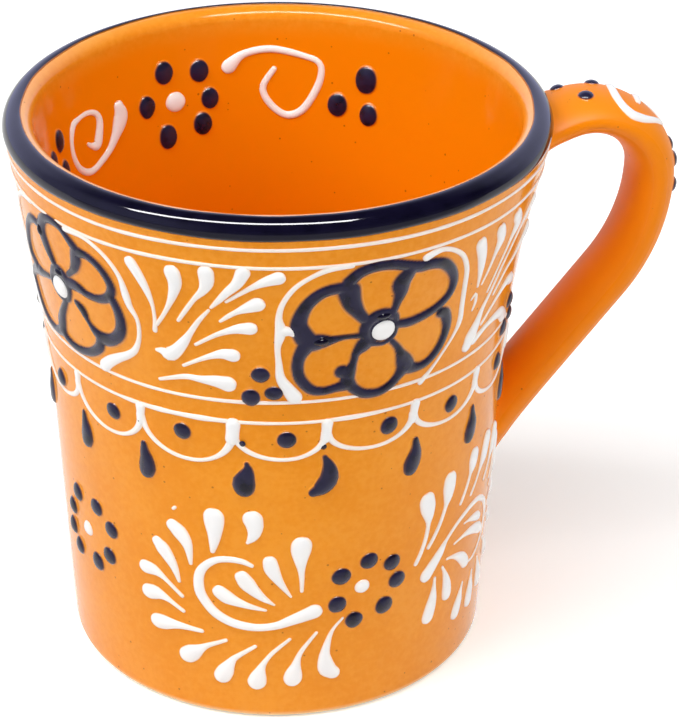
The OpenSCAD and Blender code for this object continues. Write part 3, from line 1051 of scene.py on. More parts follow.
@dataclass(frozen=True)
class ClayCup:
    """The thrown cup: foot, wall, lip and floor in one turned profile, in millimetres."""

    wall: Wall
    floor: float = 5.5
    fillet: float = 9.0
    foot_round: float = 1.6
    ring_w: float = 6.0
    recess: float = 1.4
    thin_over_lip: float = 2.0
    thin_below_lip: float = 4.5
    glaze_inside: float = 0.5
    glaze_edge: Pair = (0.5, 0.9)
    # Where pale colour is painted: a reflection of the floor along the foot's edge, and a highlight over the
    # lip, strongest at the front.
    foot_sheen: float = 1.0
    foot_sheen_up: Pair = (0.9, 1.5)
    foot_sheen_in: Pair = (1.5, 1.0)
    lip_pale_from: Pair = (60.0, 80.0)
    lip_pale_to: Pair = (115.0, 165.0)
    recess_rows: int = 8
    outer_rows: int = 96
    inner_rows: int = 80
    floor_rows: int = 10
    weld: float = 0.001
    steps: int = 192

    def profile(self) -> list[tuple[float, float, float]]:
        """Traces the section from the middle of the recess, over the lip, to the middle of the floor.

        Returns:
            Points of distance from the axis, height, and how deep the glaze is.
        """
        wall, radius = self.wall, self.wall.plain_radius
        foot_r = radius(self.foot_round)
        ring_r = foot_r - self.foot_round - self.ring_w
        floor_z = self.recess + self.floor
        top_of_fillet = floor_z + self.fillet
        fillet_r = radius(top_of_fillet) - wall.thickness - self.fillet
        under = [(ring_r * i / self.recess_rows, self.recess, 0.0) for i in range(self.recess_rows)]
        step = [1 - i / 3 for i in range(1, 4)]
        under += [(ring_r - self.recess * s, self.recess * s**2, 0.0) for s in step]
        under += [(ring_r + self.ring_w * i / 3, 0.0, 0.0) for i in range(1, 3)]
        edge = [math.radians(a) for a in range(-90, 1, 15)]
        rolled = self.foot_round
        foot = [(foot_r - rolled * (1 - math.cos(a)), rolled * (1 + math.sin(a)), 0.0) for a in edge]
        top = wall.lip_z
        up = [rolled + (top - rolled) * i / self.outer_rows for i in range(1, self.outer_rows + 1)]
        outer = [(radius(z), z, 0.0) for z in up]
        over = [math.radians(a) for a in range(10, 180, 10)]
        lip = [(wall.lip_u + wall.lip_r * math.cos(a), top + wall.lip_r * math.sin(a), 0.0) for a in over]
        down = [top + (top_of_fillet - top) * i / self.inner_rows for i in range(self.inner_rows + 1)]
        inner = [(radius(z) - wall.thickness, z, self._depth(z)) for z in down]
        corner = [math.radians(a) for a in range(10, 91, 10)]
        bowl, depth, rows = self.fillet, self.glaze_inside, self.floor_rows
        inner += [(fillet_r + bowl * math.cos(a), top_of_fillet - bowl * math.sin(a), depth) for a in corner]
        inner += [(fillet_r * (1 - i / rows), floor_z, depth) for i in range(1, rows + 1)]
        return under + foot + outer + lip + inner

    def _depth(self, z: float) -> float:
        """How deep the glaze is at a height inside: thin at the lip, full lower down."""
        below = smoothstep(-self.thin_over_lip, self.thin_below_lip, self.wall.lip_z - z)
        return self.glaze_inside * below

    def _pale_sheen_and_break(self, angle: float, across: float, z: float) -> float:
        """Tells where a pale colour is painted: a painted reflection of the floor along the foot's edge, and
        a painted highlight over the lip, strongest at the front, where thin glaze also breaks pale.

        Args:
            angle: Round the axis from the handle, in radians.
            across: Distance from the axis in millimetres.
            z: Height in millimetres.

        Returns:
            1 where it is palest.
        """
        wall = self.wall
        over = math.degrees(math.atan2(z - wall.lip_z, across - wall.lip_u))
        inward = over if over > -90.0 else 180.0
        side = 0.5 - 0.5 * math.sin(from_front(angle))
        # Painted reflection of the floor along the foot's rolled edge; painted highlight over the lip, full
        # at the front and gone at the back.
        low = self.foot_sheen * (1.0 - smoothstep(*self.foot_sheen_up, z))
        foot_sheen_share = low * smoothstep(*self.foot_sheen_in, wall.foot_r - across)
        lip_pale = side * smoothstep(*self.lip_pale_from, inward)
        return foot_sheen_share + lip_pale * (1.0 - smoothstep(*self.lip_pale_to, inward))

    def build(self, finishes: Finishes) -> None:
        """Turns the profile on the wheel.

        Args:
            finishes: The materials.
        """
        bm = bmesh.new()
        deep = bm.verts.layers.float.new("deep")
        glazed = bm.verts.layers.float.new("glazed")
        pale_sheen_and_break = bm.verts.layers.float.new("pale_sheen_and_break")
        chain = []
        for r, z, depth in self.profile():
            vert = bm.verts.new((r * MM, 0.0, z * MM))
            vert[deep] = depth
            vert[glazed] = smoothstep(*self.glaze_edge, (self.wall.foot_r - self.ring_w - r) / 2)
            chain.append(vert)
        edges = [bm.edges.new(pair) for pair in zip(chain, chain[1:])]
        turn_on_wheel(bm, chain + edges, self.steps)
        bmesh.ops.remove_doubles(bm, verts=bm.verts[:], dist=self.weld * MM)
        for vert in bm.verts:
            across = math.hypot(vert.co.x, vert.co.y)
            if across > self.fillet * MM:
                angle, z = math.atan2(vert.co.y, vert.co.x), vert.co.z / MM
                # Marks the painted pale sheen at the foot's edge and the painted highlight over the front of
                # the lip.
                vert[pale_sheen_and_break] = self._pale_sheen_and_break(angle, across / MM, z)
                grown = 1.0 + self.wall.unevenness(angle, z) * MM / across
                vert.co.x *= grown
                vert.co.y *= grown
                vert.co.z += self.wall.rise(angle, z) * MM
        add_piece(bm, "clay_cup", finishes, Slot.ORANGE, "cup_body")


@dataclass(frozen=True)
class Strap:
    """The pulled handle: a run, a bend, a long curve and a straight leg, in millimetres and degrees."""

    wall: Wall
    width: float = 15.0
    thickness: float = 8.0
    arm_share: float = 0.81
    arm_until: float = 0.8
    drop: float = 1.1
    rise: float = 17.0
    run: float = 6.2
    bend_r: float = 12.3
    leg_r: float = 33.0
    lower_root_at: float = 0.363
    root_flare: float = 0.2
    lower_flare: float = 0.5
    flare_run: float = 3.6
    collar: float = 0.8
    collar_run: float = 1.1
    embed: float = 1.3
    past: float = 7.0
    bend_turn: float = 3.515
    thin_edge: float = 0.45
    edge_at: Pair = (0.76, 0.99)
    closing: float = 40.0
    rings: int = 170
    sides: int = 44

    @property
    def root(self) -> Vector:
        """Where the run's middle line meets the wall, as distance out and height."""
        z = self.wall.lip_z - self.drop - self.thickness / 2 * (1 + self.root_flare / 4)
        return Vector((self.wall.plain_radius(z), z))

    @property
    def bend_centre(self) -> Vector:
        """Finds the centre of the upper bend.

        Returns:
            Its distance out and height.
        """
        a = math.radians(self.rise)
        end = self.root + self.run * towards(a)
        return end + self.bend_r * Vector((math.sin(a), -math.cos(a)))

    @property
    def leg_centre(self) -> Vector:
        """Centre of the long curve."""
        return self.bend_centre + Vector((self.bend_r - self.leg_r, 0.0))

    @property
    def lower_root(self) -> Vector:
        """Where the leg's middle line meets the wall."""
        z = self.lower_root_at * self.wall.height
        return Vector((self.wall.plain_radius(z), z))

    @property
    def lean(self) -> float:
        """Turn of the long curve, in radians, so that the leg runs straight to its root."""
        away = self.lower_root - self.leg_centre
        return -math.atan2(away.y, away.x) - math.acos(self.leg_r / away.length)

    def lengths(self) -> tuple[float, float, float, float]:
        """Measures the strap's middle line.

        Returns:
            Lengths of the run, the bend, the long curve and the leg.
        """
        bend = self.bend_r * math.radians(90 + self.rise)
        end = self.leg_centre + self.leg_r * towards(-self.lean)
        return self.run, bend, self.leg_r * self.lean, (self.lower_root - end).length

    def middle(self, place: float) -> tuple[Vector, float]:
        """Follows the strap's middle line.

        Args:
            place: Millimetres from the upper root; below 0 lies in the wall.

        Returns:
            Distance out and height, and the heading in radians.
        """
        run, bend, curve, _ = self.lengths()
        start = math.radians(90 + self.rise)
        if place < run:
            heading = math.radians(self.rise)
            return self.root + place * towards(heading), heading
        if place < run + bend:
            a = start - (place - run) / self.bend_r
            return self.bend_centre + self.bend_r * towards(a), a - math.pi / 2
        a = -min(self.lean, (place - run - bend) / self.leg_r)
        at = self.leg_centre + self.leg_r * towards(a)
        heading = a - math.pi / 2
        over = max(0.0, place - run - bend - curve)
        return at + over * towards(heading), heading

    def half_thick(self, place: float) -> float:
        """Tells how thick the strap is; the arm is pulled thinner than the leg.

        Args:
            place: Millimetres from the upper root.

        Returns:
            Half the thickness there.
        """
        run, bend, _, _ = self.lengths()
        thin = 1.0 - smoothstep(run, run + self.arm_until * bend, place)
        return self.thickness / 2 * (1.0 - (1.0 - self.arm_share) * thin)

    def __call__(self, x: float, y: float, lift: float) -> Vector:
        """Wraps a point of a drawing over the bend.

        Args:
            x: Millimetres across the strap.
            y: Millimetres along it from the start of the bend.
            lift: Millimetres off the clay.

        Returns:
            The point in metres.
        """
        half = self.half_thick(self.run + math.radians(y * self.bend_turn) * self.bend_r)
        fall = math.sqrt(max(0.0, 1.0 - (2 * x / self.width) ** 2))
        tilt = math.atan2(x / (self.width / 2) ** 2, fall / half)
        r = self.bend_r + half * fall + lift * math.cos(tilt)
        a = math.radians(90 + self.rise - y * self.bend_turn)
        at = self.bend_centre + r * towards(a)
        return Vector((at.x, x + lift * math.sin(tilt), at.y)) * MM

    def build(self, finishes: Finishes) -> None:
        """Pulls the strap and lutes both ends to the wall.

        Args:
            finishes: The materials.
        """
        bm = bmesh.new()
        deep = bm.verts.layers.float.new("deep")
        total = sum(self.lengths())

        def at(vert: Vert, ring: int, angle: float) -> None:
            """Moves a vertex of the ball on to the strap.

            Args:
                vert: The vertex.
                ring: Its ring along the strap.
                angle: Its angle round the section.
            """
            along = ring / self.rings
            place = (total + 2 * self.past) * along - self.past
            middle, heading = self.middle(place)
            upper = math.exp(-max(0.0, place) / self.flare_run)
            lower = math.exp(-max(0.0, total - place) / self.flare_run)
            grow = self.root_flare * (upper + self.lower_flare * lower)
            end = math.sqrt(max(0.0, min(1.0, self.closing * along, self.closing * (1.0 - along))))
            half_w, half_t = self.width / 2 * (1 + grow), self.half_thick(place) * (1 + grow / 4)
            out = Vector((-math.sin(heading), math.cos(heading))) * (half_t * math.sin(angle) * end)
            at_point = Vector((middle.x + out.x, half_w * math.cos(angle) * end, middle.y + out.y))
            vert.co = self._luted(at_point, Vector((out.x, at_point.y, out.y))) * MM
            vert[deep] = 1.0 - self.thin_edge * smoothstep(*self.edge_at, abs(math.cos(angle)))

        ball_sweep(bm, self.rings, self.sides, at)
        add_piece(bm, "clay_handle", finishes, Slot.ORANGE, "handle")

    def _luted(self, point: Vector, out: Vector) -> Vector:
        """Swells the strap where it meets the wall, and stops it inside the clay.

        Args:
            point: A point of the strap in millimetres.
            out: The way out from the strap's middle.

        Returns:
            The point as smoothed on to the wall.
        """
        clay = self.wall.radius(math.atan2(point.y, point.x), point.z)
        gap = math.hypot(point.x, point.y) - clay
        if out.length > 1e-6:
            point = point + out.normalized() * self.collar * math.exp(-max(0.0, gap) / self.collar_run)
        depth = math.hypot(point.x, point.y) - (clay - self.embed)
        if depth < 0.0:
            flat = Vector((point.x, point.y, 0.0)).normalized()
            point = point - flat * depth
        return point


@dataclass(frozen=True)
class LipCoat:
    """The dark coat brushed over the lip, in millimetres and degrees."""

    wall: Wall
    drop: float = 0.9
    over: float = 93.0
    over_tilt: float = 3.0
    over_sides: float = 11.0
    over_handle: float = 5.0
    uneven: float = 0.25
    outer_waves: float = 3.5
    inner_waves: float = 4.5
    thin_edge: float = 2.4
    edge_power: float = 0.6
    fade: float = 0.12
    held_back: float = 0.03
    dip: float = 0.02
    sunk: float = 0.25
    hoop: float = 3.0
    steps: int = 288
    sides: int = 32

    def build(self, finishes: Finishes) -> None:
        """Brushes the coat on.

        Args:
            finishes: The materials.
        """
        bm = bmesh.new()
        feather = bm.verts.layers.float.new("feather")
        thick = bm.verts.layers.float.new("thick")
        ring = bmesh.ops.create_circle(bm, segments=self.sides, radius=1.0)["verts"]
        stand = Matrix.Translation((self.hoop, 0, 0)) @ Matrix.Rotation(math.pi / 2, 4, "X")
        bmesh.ops.transform(bm, matrix=stand, verts=ring)
        edges = list({edge for vert in ring for edge in vert.link_edges})
        turn_on_wheel(bm, ring + edges, self.steps)
        for vert in bm.verts:
            angle = math.atan2(vert.co.y, vert.co.x)
            share = math.atan2(vert.co.z, math.hypot(vert.co.x, vert.co.y) - self.hoop) / math.pi
            lift = self._thickness(share)
            vert[feather] = 1.0 - smoothstep(0.0, self.fade, lift)
            vert[thick] = 1.0
            vert.co = self._point(angle, abs(share), lift)
        add_piece(bm, "lip_coat", finishes, Slot.NAVY, "rim_band")

    def _thickness(self, share: float) -> float:
        """Tells how thick the coat is.

        Args:
            share: From the outer edge, at 0, to the inner one, at 1; below 0 is the underside.

        Returns:
            Millimetres off the clay.
        """
        if share < 0.0:
            return -self.sunk
        full = min(1.0, math.sin(math.pi * share) * self.thin_edge) ** self.edge_power
        return (self.wall.coat - self.held_back) * full - self.dip

    def _waves(self, angle: float, count: float, seed: float) -> float:
        """How far an edge of the coat wavers."""
        return self.uneven * noise.noise(Vector((count * math.cos(angle), count * math.sin(angle), seed)))

    def _point(self, angle: float, share: float, lift: float) -> Vector:
        """A point over the lip.

        Args:
            angle: Round the axis.
            share: From the outer edge to the inner one.
            lift: Off the clay, in millimetres.

        Returns:
            The point in metres.
        """
        wall = self.wall
        c, s = math.cos(angle), math.sin(angle)
        low = -self.drop + self._waves(angle, self.outer_waves, 3.0)
        seen = from_front(angle)
        beside = self.over_sides + (self.over_handle if math.cos(seen) > 0 else 0.0)
        over = self.over - self.over_tilt * math.sin(seen) + beside * math.cos(seen) ** 2
        high = math.radians(over) * wall.lip_r + self._waves(angle, self.inner_waves, 9.0)
        place = low + (high - low) * share
        a = max(0.0, place) / wall.lip_r
        z = wall.lip_z + min(0.0, place)
        lean = wall.plain_radius(z) - wall.plain_radius(wall.lip_z) + wall.unevenness(angle, z)
        r = wall.lip_u + lean + (wall.lip_r + lift) * math.cos(a)
        top = z + wall.rise(angle, z) + (wall.lip_r + lift) * math.sin(a)
        return Vector((r * c, r * s, top)) * MM


@dataclass(frozen=True)
class RingLines:
    """White rings trailed round the wall while the cup turned."""

    wall: Wall
    strap: Strap
    settled: tuple[tuple[str, float, float], ...] = (
        ("lip_ring", 0.27, 0.4),
        ("frieze_top_ring", 0.05, 0.4),
        ("frieze_low_ring", 0.12, 0.4),
        ("garland_ring", 0.1, 0.9),
    )
    width: float = 0.7
    uneven: float = 0.18
    swell_mm: float = 9.0
    swell_seed: int = 20
    wander: float = 0.2
    wander_mm: float = 21.0
    spacing: float = 4.0
    clearance: float = 0.4

    def build(self, finishes: Finishes) -> None:
        """Trails the four rings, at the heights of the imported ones.

        Args:
            finishes: The materials.
        """
        for seed, (name, sag, swell) in enumerate(self.settled):
            low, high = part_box(name)
            z = (low.z + high.z) / 2 / MM - sag
            radius = self.wall.plain_radius(z)
            half = self.strap.width / 2 * (1 + self.strap.root_flare) + self.clearance
            beside = z > self.strap.root.y - self.strap.thickness
            gap = math.degrees(math.asin(half / radius)) if beside else -1.0
            turn = math.degrees(1 / radius)
            around = (360 - 2 * gap) / turn
            count = round(around / self.spacing)
            nodes = [self._node(i * around / count, swell, seed) for i in range(count + 1)]
            ring = Deposit(WHITE_LINE)
            ring.line(nodes, Belt(self.wall, gap, z, turn), self.uneven)
            ring.finish(name, finishes)

    def _node(self, x: float, swell: float, seed: int) -> Node:
        """A point of a ring, which wanders and swells a little."""
        grown = 1.0 + swell * max(0.0, waver(x / self.swell_mm, seed + self.swell_seed))
        return x, self.wander * waver(x / self.wander_mm, seed), self.width * grown


@dataclass(frozen=True)
class Ornament:
    """Motifs round the wall at one height, drawn flat in millimetres; turn is degrees in a millimetre."""

    wall: Wall
    z: float
    turn: float
    inside: bool = False

    def place(self, at: float, lifted: float = 0.0) -> Belt:
        """The surface under a motif that stands at an angle in degrees."""
        return Belt(self.wall, at, self.z, self.turn, self.inside, lifted)


@dataclass(frozen=True)
class Garland(Ornament):
    """Scallops hung between posts, with a dot in each and a drop under each post."""

    z: float = 57.0
    turn: float = 1.42
    posts: tuple[float, ...] = (
        -178.5, -156, -134, -110.5, -88.5, -66, -44, -21, 2, 24.5, 47, 69.5, 92, 114.5, 137, 159.5
    )
    dips: tuple[float, ...] = (
        -1.6, -2.7, -3.2, -1.8, -1.3, -1.4, -1.9, -1.5, -2.4, -1.8, -2.1, -1.4, -2.6, -1.9, -1.6, -2.2
    )
    dot_shifts: tuple[float, ...] = (
        1.2, 1.8, -0.3, 1.3, 3.2, 1.1, 1.6, 0.6, 0.2, 1.1, -0.5, 0.4, 0.9, -0.2, 0.5, 0.8
    )
    dot_lifts: tuple[float, ...] = (-1.1, -0.5, 0.3, -0.1, 0.2, -0.6, 0, 0, 0, 0, 0, 0, 0, 0, 0, 0)
    dot_size: Pair = (3.3, 3.4)
    dot_height: float = 2.2
    dot_strays: float = 0.5
    specks: tuple[tuple[int, float, float, float], ...] = (
        (2, -0.1, 2.1, 0.6), (3, 1.7, 1.4, 0.5), (4, -0.4, 0.5, 0.5)
    )
    speck_lift: float = 0.28
    swag_hang: float = 3.2
    swag_thin: float = 0.8
    swag_skew: float = 0.1
    left_end: tuple[float, float, float] = (0.35, 0.4, 0.85)
    right_end: tuple[float, float, float] = (0.1, 0.75, 1.1)
    tips: tuple[float, ...] = (0.6, 1, 0.3, 2.1, 0, 1, 0.3, 0.7, 0.5, 1.2, 0.2, 0.8, 0.5, 1, 0.3, 0.6)
    bulbs: tuple[float, ...] = (0.2, 1.3, 0.7, 1.6, 0.2, 0.5, 0.1, 0.3, 0.6, 0.4, 0, 0.5, 0.2, 0.6, 0.1, 0.4)
    top: float = 5.2

    def span(self, i: int) -> float:
        """Degrees from a post to the next."""
        after = self.posts[i + 1] if i + 1 < len(self.posts) else self.posts[0] + 360
        return after - self.posts[i]

    def build(self, finishes: Finishes) -> None:
        """Trails the whole belt.

        Args:
            finishes: The materials.
        """
        scallops, dots, drops = Deposit(WHITE_LINE), Deposit(NAVY_DROP), Deposit(NAVY_DROP)
        for i, post in enumerate(self.posts):
            middle = self.place(post + self.span(i) / 2)
            below = self.place(post)
            scallops.line(self._swag(self.span(i) / 2 / self.turn, self.dips[i]), middle, 0.12)
            scallops.line(self._post(i), below, 0.1)
            height = self.dot_height + self.dot_strays * waver(i * 2.3, 17) + self.dot_lifts[i]
            dots.drop(self.dot_shifts[i], height, *self.dot_size, middle)
            drops.line(self._drop(i), below, 0.03)
        drops.on_slip = True
        for i, x, y, wide in self.specks:
            drops.drop(x, y, wide, wide, self.place(self.posts[i], self.speck_lift))
        scallops.finish("garland_scallops", finishes)
        dots.finish("garland_dots", finishes)
        drops.finish("garland_drops", finishes)

    def _swag(self, half: float, dip: float) -> list[Node]:
        """Draws one scallop, thick at its posts and thin below.

        Args:
            half: Half the way from post to post.
            dip: Height of its lowest point.

        Returns:
            Its points, from the left post to the right one.
        """
        nodes = []
        for turn in np.linspace(0.0, math.pi, 13).tolist():
            across, down = -math.cos(turn), math.sin(turn)
            inset, swell, bow = self.right_end if across > 0 else self.left_end
            grown = swell * across**3 if across > 0 else swell * across * across
            x = (half - inset) * across + self.swag_skew * half * down
            nodes.append((x, self.swag_hang - (self.swag_hang - dip) * down**bow, self.swag_thin + grown))
        return nodes

    def _post(self, i: int) -> list[Node]:
        """Draws the bar that two scallops hang from.

        Args:
            i: The post's number.

        Returns:
            Its points, from the top down.
        """
        lean = 0.2 + 0.25 * waver(i * 1.7, 5)
        wide = (2.4 if i % 4 == 3 else 1.8) + 0.3 * waver(i, 6)
        return [(lean, self.top - 0.2, wide + 0.2), (lean / 2, 3.6, wide), (0.0, 2.2, wide + 0.1)]

    def _drop(self, i: int) -> list[Node]:
        """Draws a hanging drop: a thin tip above and a round bulb below.

        Args:
            i: The number of the post it hangs under.

        Returns:
            Its points, from the tip down.
        """
        odd = self._odd_drops().get(i)
        if odd:
            return odd
        tip, bulb = self.tips[i], self.bulbs[i]
        fat = 3.8 + 0.4 * waver(i * 1.3, 13)
        bow = (tip + bulb) / 2 + 0.2
        bottom = [(bulb, -7.0, fat), (bulb - 0.1, -7.5, 0.92 * fat)]
        return [(tip, -2.8, 1.5), (tip + 0.1, -4.0, 2.2), (bow, -5.4, 0.84 * fat), *bottom]

    @staticmethod
    def _odd_drops() -> dict[int, list[Node]]:
        """Draws the two drops at the front that ran their own way.

        Returns:
            Their points, by the numbers of their posts.
        """
        fat = [(2.4, -3, 1.1), (2.5, -3.6, 1.8), (2.4, -4.4, 2.6), (2.15, -5.3, 3.4)]
        comma = [(0, -1.9, 1.1), (0.5, -3.2, 2.1), (0.75, -4.7, 3), (0.65, -6.2, 3.6), (0, -7.3, 3.6)]
        fat += [(1.8, -6.5, 4.3), (1.8, -7.2, 4)]
        comma += [(-0.9, -8.1, 3), (-1.6, -8.5, 2.1)]
        return {3: fat, 4: comma}


@dataclass(frozen=True)
class Frieze(Ornament):
    """The upper belt: flowers in white brackets, with fronds and berries between them."""

    z: float = 79.85
    turn: float = 1.325
    petal_share: float = 0.98
    petal_spread: float = 0.22
    pool_lift: float = 0.38
    pools: tuple[tuple[Spot, ...], ...] = (
        ((0.1, 2.6, 2.6, 1.1), (-10.2, -0.9, 2.7, 1.3)),
        ((0.8, 2.7, 2.4, 1.2), (-2.9, 9.2, 1.3, 2.5)),
    )
    core: tuple[Node, ...] = ((-0.2, -0.3, 4.5), (0.6, -0.4, 4.5))
    eye: Spot = (0.3, -0.35, 4.1, 3.9)
    berries: tuple[Spot, ...] = ((8.6, -7.3, 3.2, 3.1), (6.9, -12, 3.4, 3.6), (10.8, -11, 3.4, 2.9))
    sparse_shift: Pair = (-1.2, -2.3)
    flowers: tuple[float, ...] = (-156, -77, 40, 124)
    fronds: tuple[float, ...] = (-115, -37, 82, 163)

    def build(self, finishes: Finishes) -> None:
        """Trails the belt; the first and third flower are of one hand, the others of another.

        Args:
            finishes: The materials.
        """
        eyes = Deposit(WHITE_EYE)
        eyes.on_slip = True
        for i, at in enumerate(self.flowers, 1):
            place = self.place(at)
            wide_open = i % 2 == 0
            flower, brackets = Deposit(NAVY_WASH), Deposit(WHITE_LINE)
            petals = self._open_flower() if wide_open else self._leaning_flower()
            share, spread = self.petal_share, self.petal_spread
            lines = [[(x * share, y * share, wide + spread) for x, y, wide in nodes] for nodes in petals]
            flower.relief([*lines, self.core], place)
            flower.thick = 1.0
            flower.on_slip = True
            on_top = self.place(at, self.pool_lift)
            for x, y, wide, tall in self.pools[i % 2]:
                flower.drop(x, y, wide, tall, on_top)
            flower.finish(f"flower_{i}", finishes)
            for nodes in self._brackets(wide_open):
                brackets.line(nodes, place)
            brackets.finish(f"frame_{i}", finishes)
            eyes.drop(*self.eye, on_top)
        eyes.finish("flower_eyes", finishes)
        for i, at in enumerate(self.fronds, 1):
            place = self.place(at)
            frond, berries = Deposit(WHITE_LINE), Deposit(NAVY_DROP)
            for nodes in self._full_frond() if i % 2 else self._sparse_frond():
                frond.line(nodes, place)
            frond.finish(f"frond_{i}", finishes)
            aside, down = (0.0, 0.0) if i % 2 else self.sparse_shift
            for x, y, wide, tall in self.berries:
                berries.drop(x + aside, y + down, wide, tall, place)
            berries.finish(f"berries_{i}", finishes)

    @staticmethod
    def _open_flower() -> list[list[Node]]:
        """Draws six petals that open to the front, the blots between them and the ring round the eye.

        Returns:
            Their lines.
        """
        crown = [(-6.2, 10.4, 2.2), (-4.4, 12, 2), (-1.8, 12.7, 1.9), (1, 12.5, 1.9), (3.4, 11.7, 1.9)]
        crown += [(6, 10.8, 2.1), (8.6, 10.6, 2), (11, 9.7, 1.9), (13, 7.4, 1.8), (13.7, 5, 1.8)]
        crown += [(12.9, 2.8, 1.8), (10.6, 1.2, 1.8), (7.6, 0.3, 1.8), (5, 0, 1.8), (2.8, 0.3, 1.5)]
        left_up = [(-6.2, 9.4, 2.2), (-9, 9.3, 2), (-11.2, 8.3, 2), (-13, 6.3, 2.1), (-14, 3.7, 2.5)]
        left_up += [(-13.9, 1.8, 3), (-12.4, -0.8, 3.5), (-10.4, -0.9, 2.8), (-8.6, -0.8, 1.6)]
        left_up += [(-6.4, -0.5, 0.9), (-4.2, -0.6, 1), (-3, -0.6, 1.5)]
        left_low = [(-12.8, -1.6, 2.8), (-13.9, -3.8, 2.1), (-14.2, -6.2, 1.9), (-13.6, -8.6, 1.9)]
        left_low += [(-11.8, -10.7, 1.8), (-9.6, -11.2, 1.6), (-7.4, -10.8, 1.7), (-5.4, -10.4, 2.4)]
        right_low = [(11.7, -0.2, 1.8), (12.9, -1, 2.1), (13.7, -3.2, 2.1), (13.5, -5.6, 1.9)]
        right_low += [(12.4, -8, 1.9), (10.4, -9.8, 1.8), (8, -10.2, 1.8), (6, -9.6, 2.6)]
        bottom = [(-5.2, -10, 2.2), (-4.2, -11.5, 1.8), (-2.2, -12.9, 1.8), (0.6, -13.2, 1.7)]
        bottom += [(2.8, -12.3, 1.8), (4.3, -10.8, 2), (5.4, -9.2, 3.2)]
        top_right = [(4.3, 10.4, 2.2), (2.9, 8.5, 3.2), (2.9, 6.6, 2.4), (2.4, 4.6, 1.5), (1.9, 3, 1.4)]
        top_left = [(-6.1, 8.6, 3.7), (-5.5, 6.2, 3.1), (-4.4, 4.2, 2.2), (-3.2, 2.6, 1.8)]
        low_left = [(-3, -2.7, 2.8), (-4.2, -4.2, 1.5), (-4.6, -6, 1.3), (-5.2, -7.8, 2.2), (-5.5, -9.6, 2.6)]
        low_right = [(2.2, -3.1, 0.9), (3.4, -4.6, 1.1), (4.2, -6.2, 1.7), (5, -7.8, 2.9), (5.6, -9.2, 3.4)]
        blob = [(-6.5, -7.6, 2.5), (-5.5, -8.4, 2.2)]
        ring = [(2.7, 0, 1), (2.2, 1.9, 1.6), (0.6, 2.8, 2.3), (-1.2, 2.6, 2.4), (-2.6, 1.4, 2.2)]
        ring += [(-2.9, -0.4, 2), (-2.4, -2, 1.8), (-0.8, -2.9, 0.9), (1, -3, 0.8), (2.4, -1.9, 0.9)]
        ring += ring[:1]
        petals = [crown, left_up, left_low, right_low, bottom]
        return [*petals, top_right, top_left, low_left, low_right, blob, ring]

    @staticmethod
    def _leaning_flower() -> list[list[Node]]:
        """Draws six petals that lean to the left, the blots between them and the ring round the eye.

        Returns:
            Their lines.
        """
        crown = [(-0.8, 4.2, 1.8), (-2.2, 6.5, 2.8), (-3, 9, 3), (-2.4, 11, 2.4), (-0.8, 12.6, 1.8)]
        crown += [(1.6, 13.1, 1.6), (4, 12.6, 1.5), (6.8, 10.2, 2.2)]
        right_up = [(3.6, 3.5, 1), (4.8, 4.6, 1.1), (5.9, 6, 1.9), (6.7, 8, 2.6), (7.2, 9.4, 2.2)]
        right_up += [(9.4, 9.7, 1.6), (11.6, 8.9, 1.6), (13.4, 7.2, 1.7), (14.3, 5, 1.8), (13.4, 2.9, 1.7)]
        right_up += [(11.2, 1.7, 1.5), (8.5, 1.4, 1.5), (6, 1.9, 2.1), (3.6, 1.8, 2.3)]
        right_low = [(14, 3, 1.8), (15, 0.6, 2), (15.3, -1.8, 2.2), (14.7, -4, 2.2), (13, -5.8, 2.2)]
        right_low += [(10.8, -6.6, 2.6), (9, -6.2, 2.2), (7.2, -4.6, 1.2), (6, -2.6, 2.1), (4.4, -1.8, 1)]
        bottom = [(9.6, -6.8, 2.2), (9.3, -8.4, 2.1), (8.2, -9.8, 1.8), (6.2, -11.1, 1.6), (3.6, -11.9, 1.6)]
        bottom += [(0.8, -12, 1.6), (-1.6, -11.3, 1.9), (-2.6, -9.7, 3), (-2, -8, 2.6), (-1, -6, 1.8)]
        bottom += [(1, -3, 1.2)]
        left_low = [(-3, -10.8, 2.2), (-5.6, -11.8, 1.6), (-9, -11.6, 1.6), (-12, -10.2, 1.6)]
        left_low += [(-14.4, -7.4, 1.6), (-14.8, -4.8, 1.7), (-12.4, -2.8, 2), (-9, -1.4, 2.2)]
        left_low += [(-6.5, -0.9, 1.4), (-3.6, -0.2, 1)]
        left_up = [(-4, 10, 1.7), (-6.6, 9.9, 1.6), (-9, 8.4, 1.6), (-11, 5.8, 1.8), (-12.4, 2.8, 2)]
        left_up += [(-12, 0.4, 2), (-9.6, -1, 2.3)]
        ring = [(3, -0.2, 1.2), (2.6, 2, 2.2), (0.6, 2.8, 2.6), (-1.2, 2.3, 1.9), (-2.4, 0.9, 1.4)]
        ring += [(-2.6, -0.7, 1.2), (-1.7, -2.3, 1), (0.3, -2.9, 1), (2.2, -2.1, 0.9), ring[0]]
        return [crown, right_up, right_low, bottom, left_low, left_up, ring]

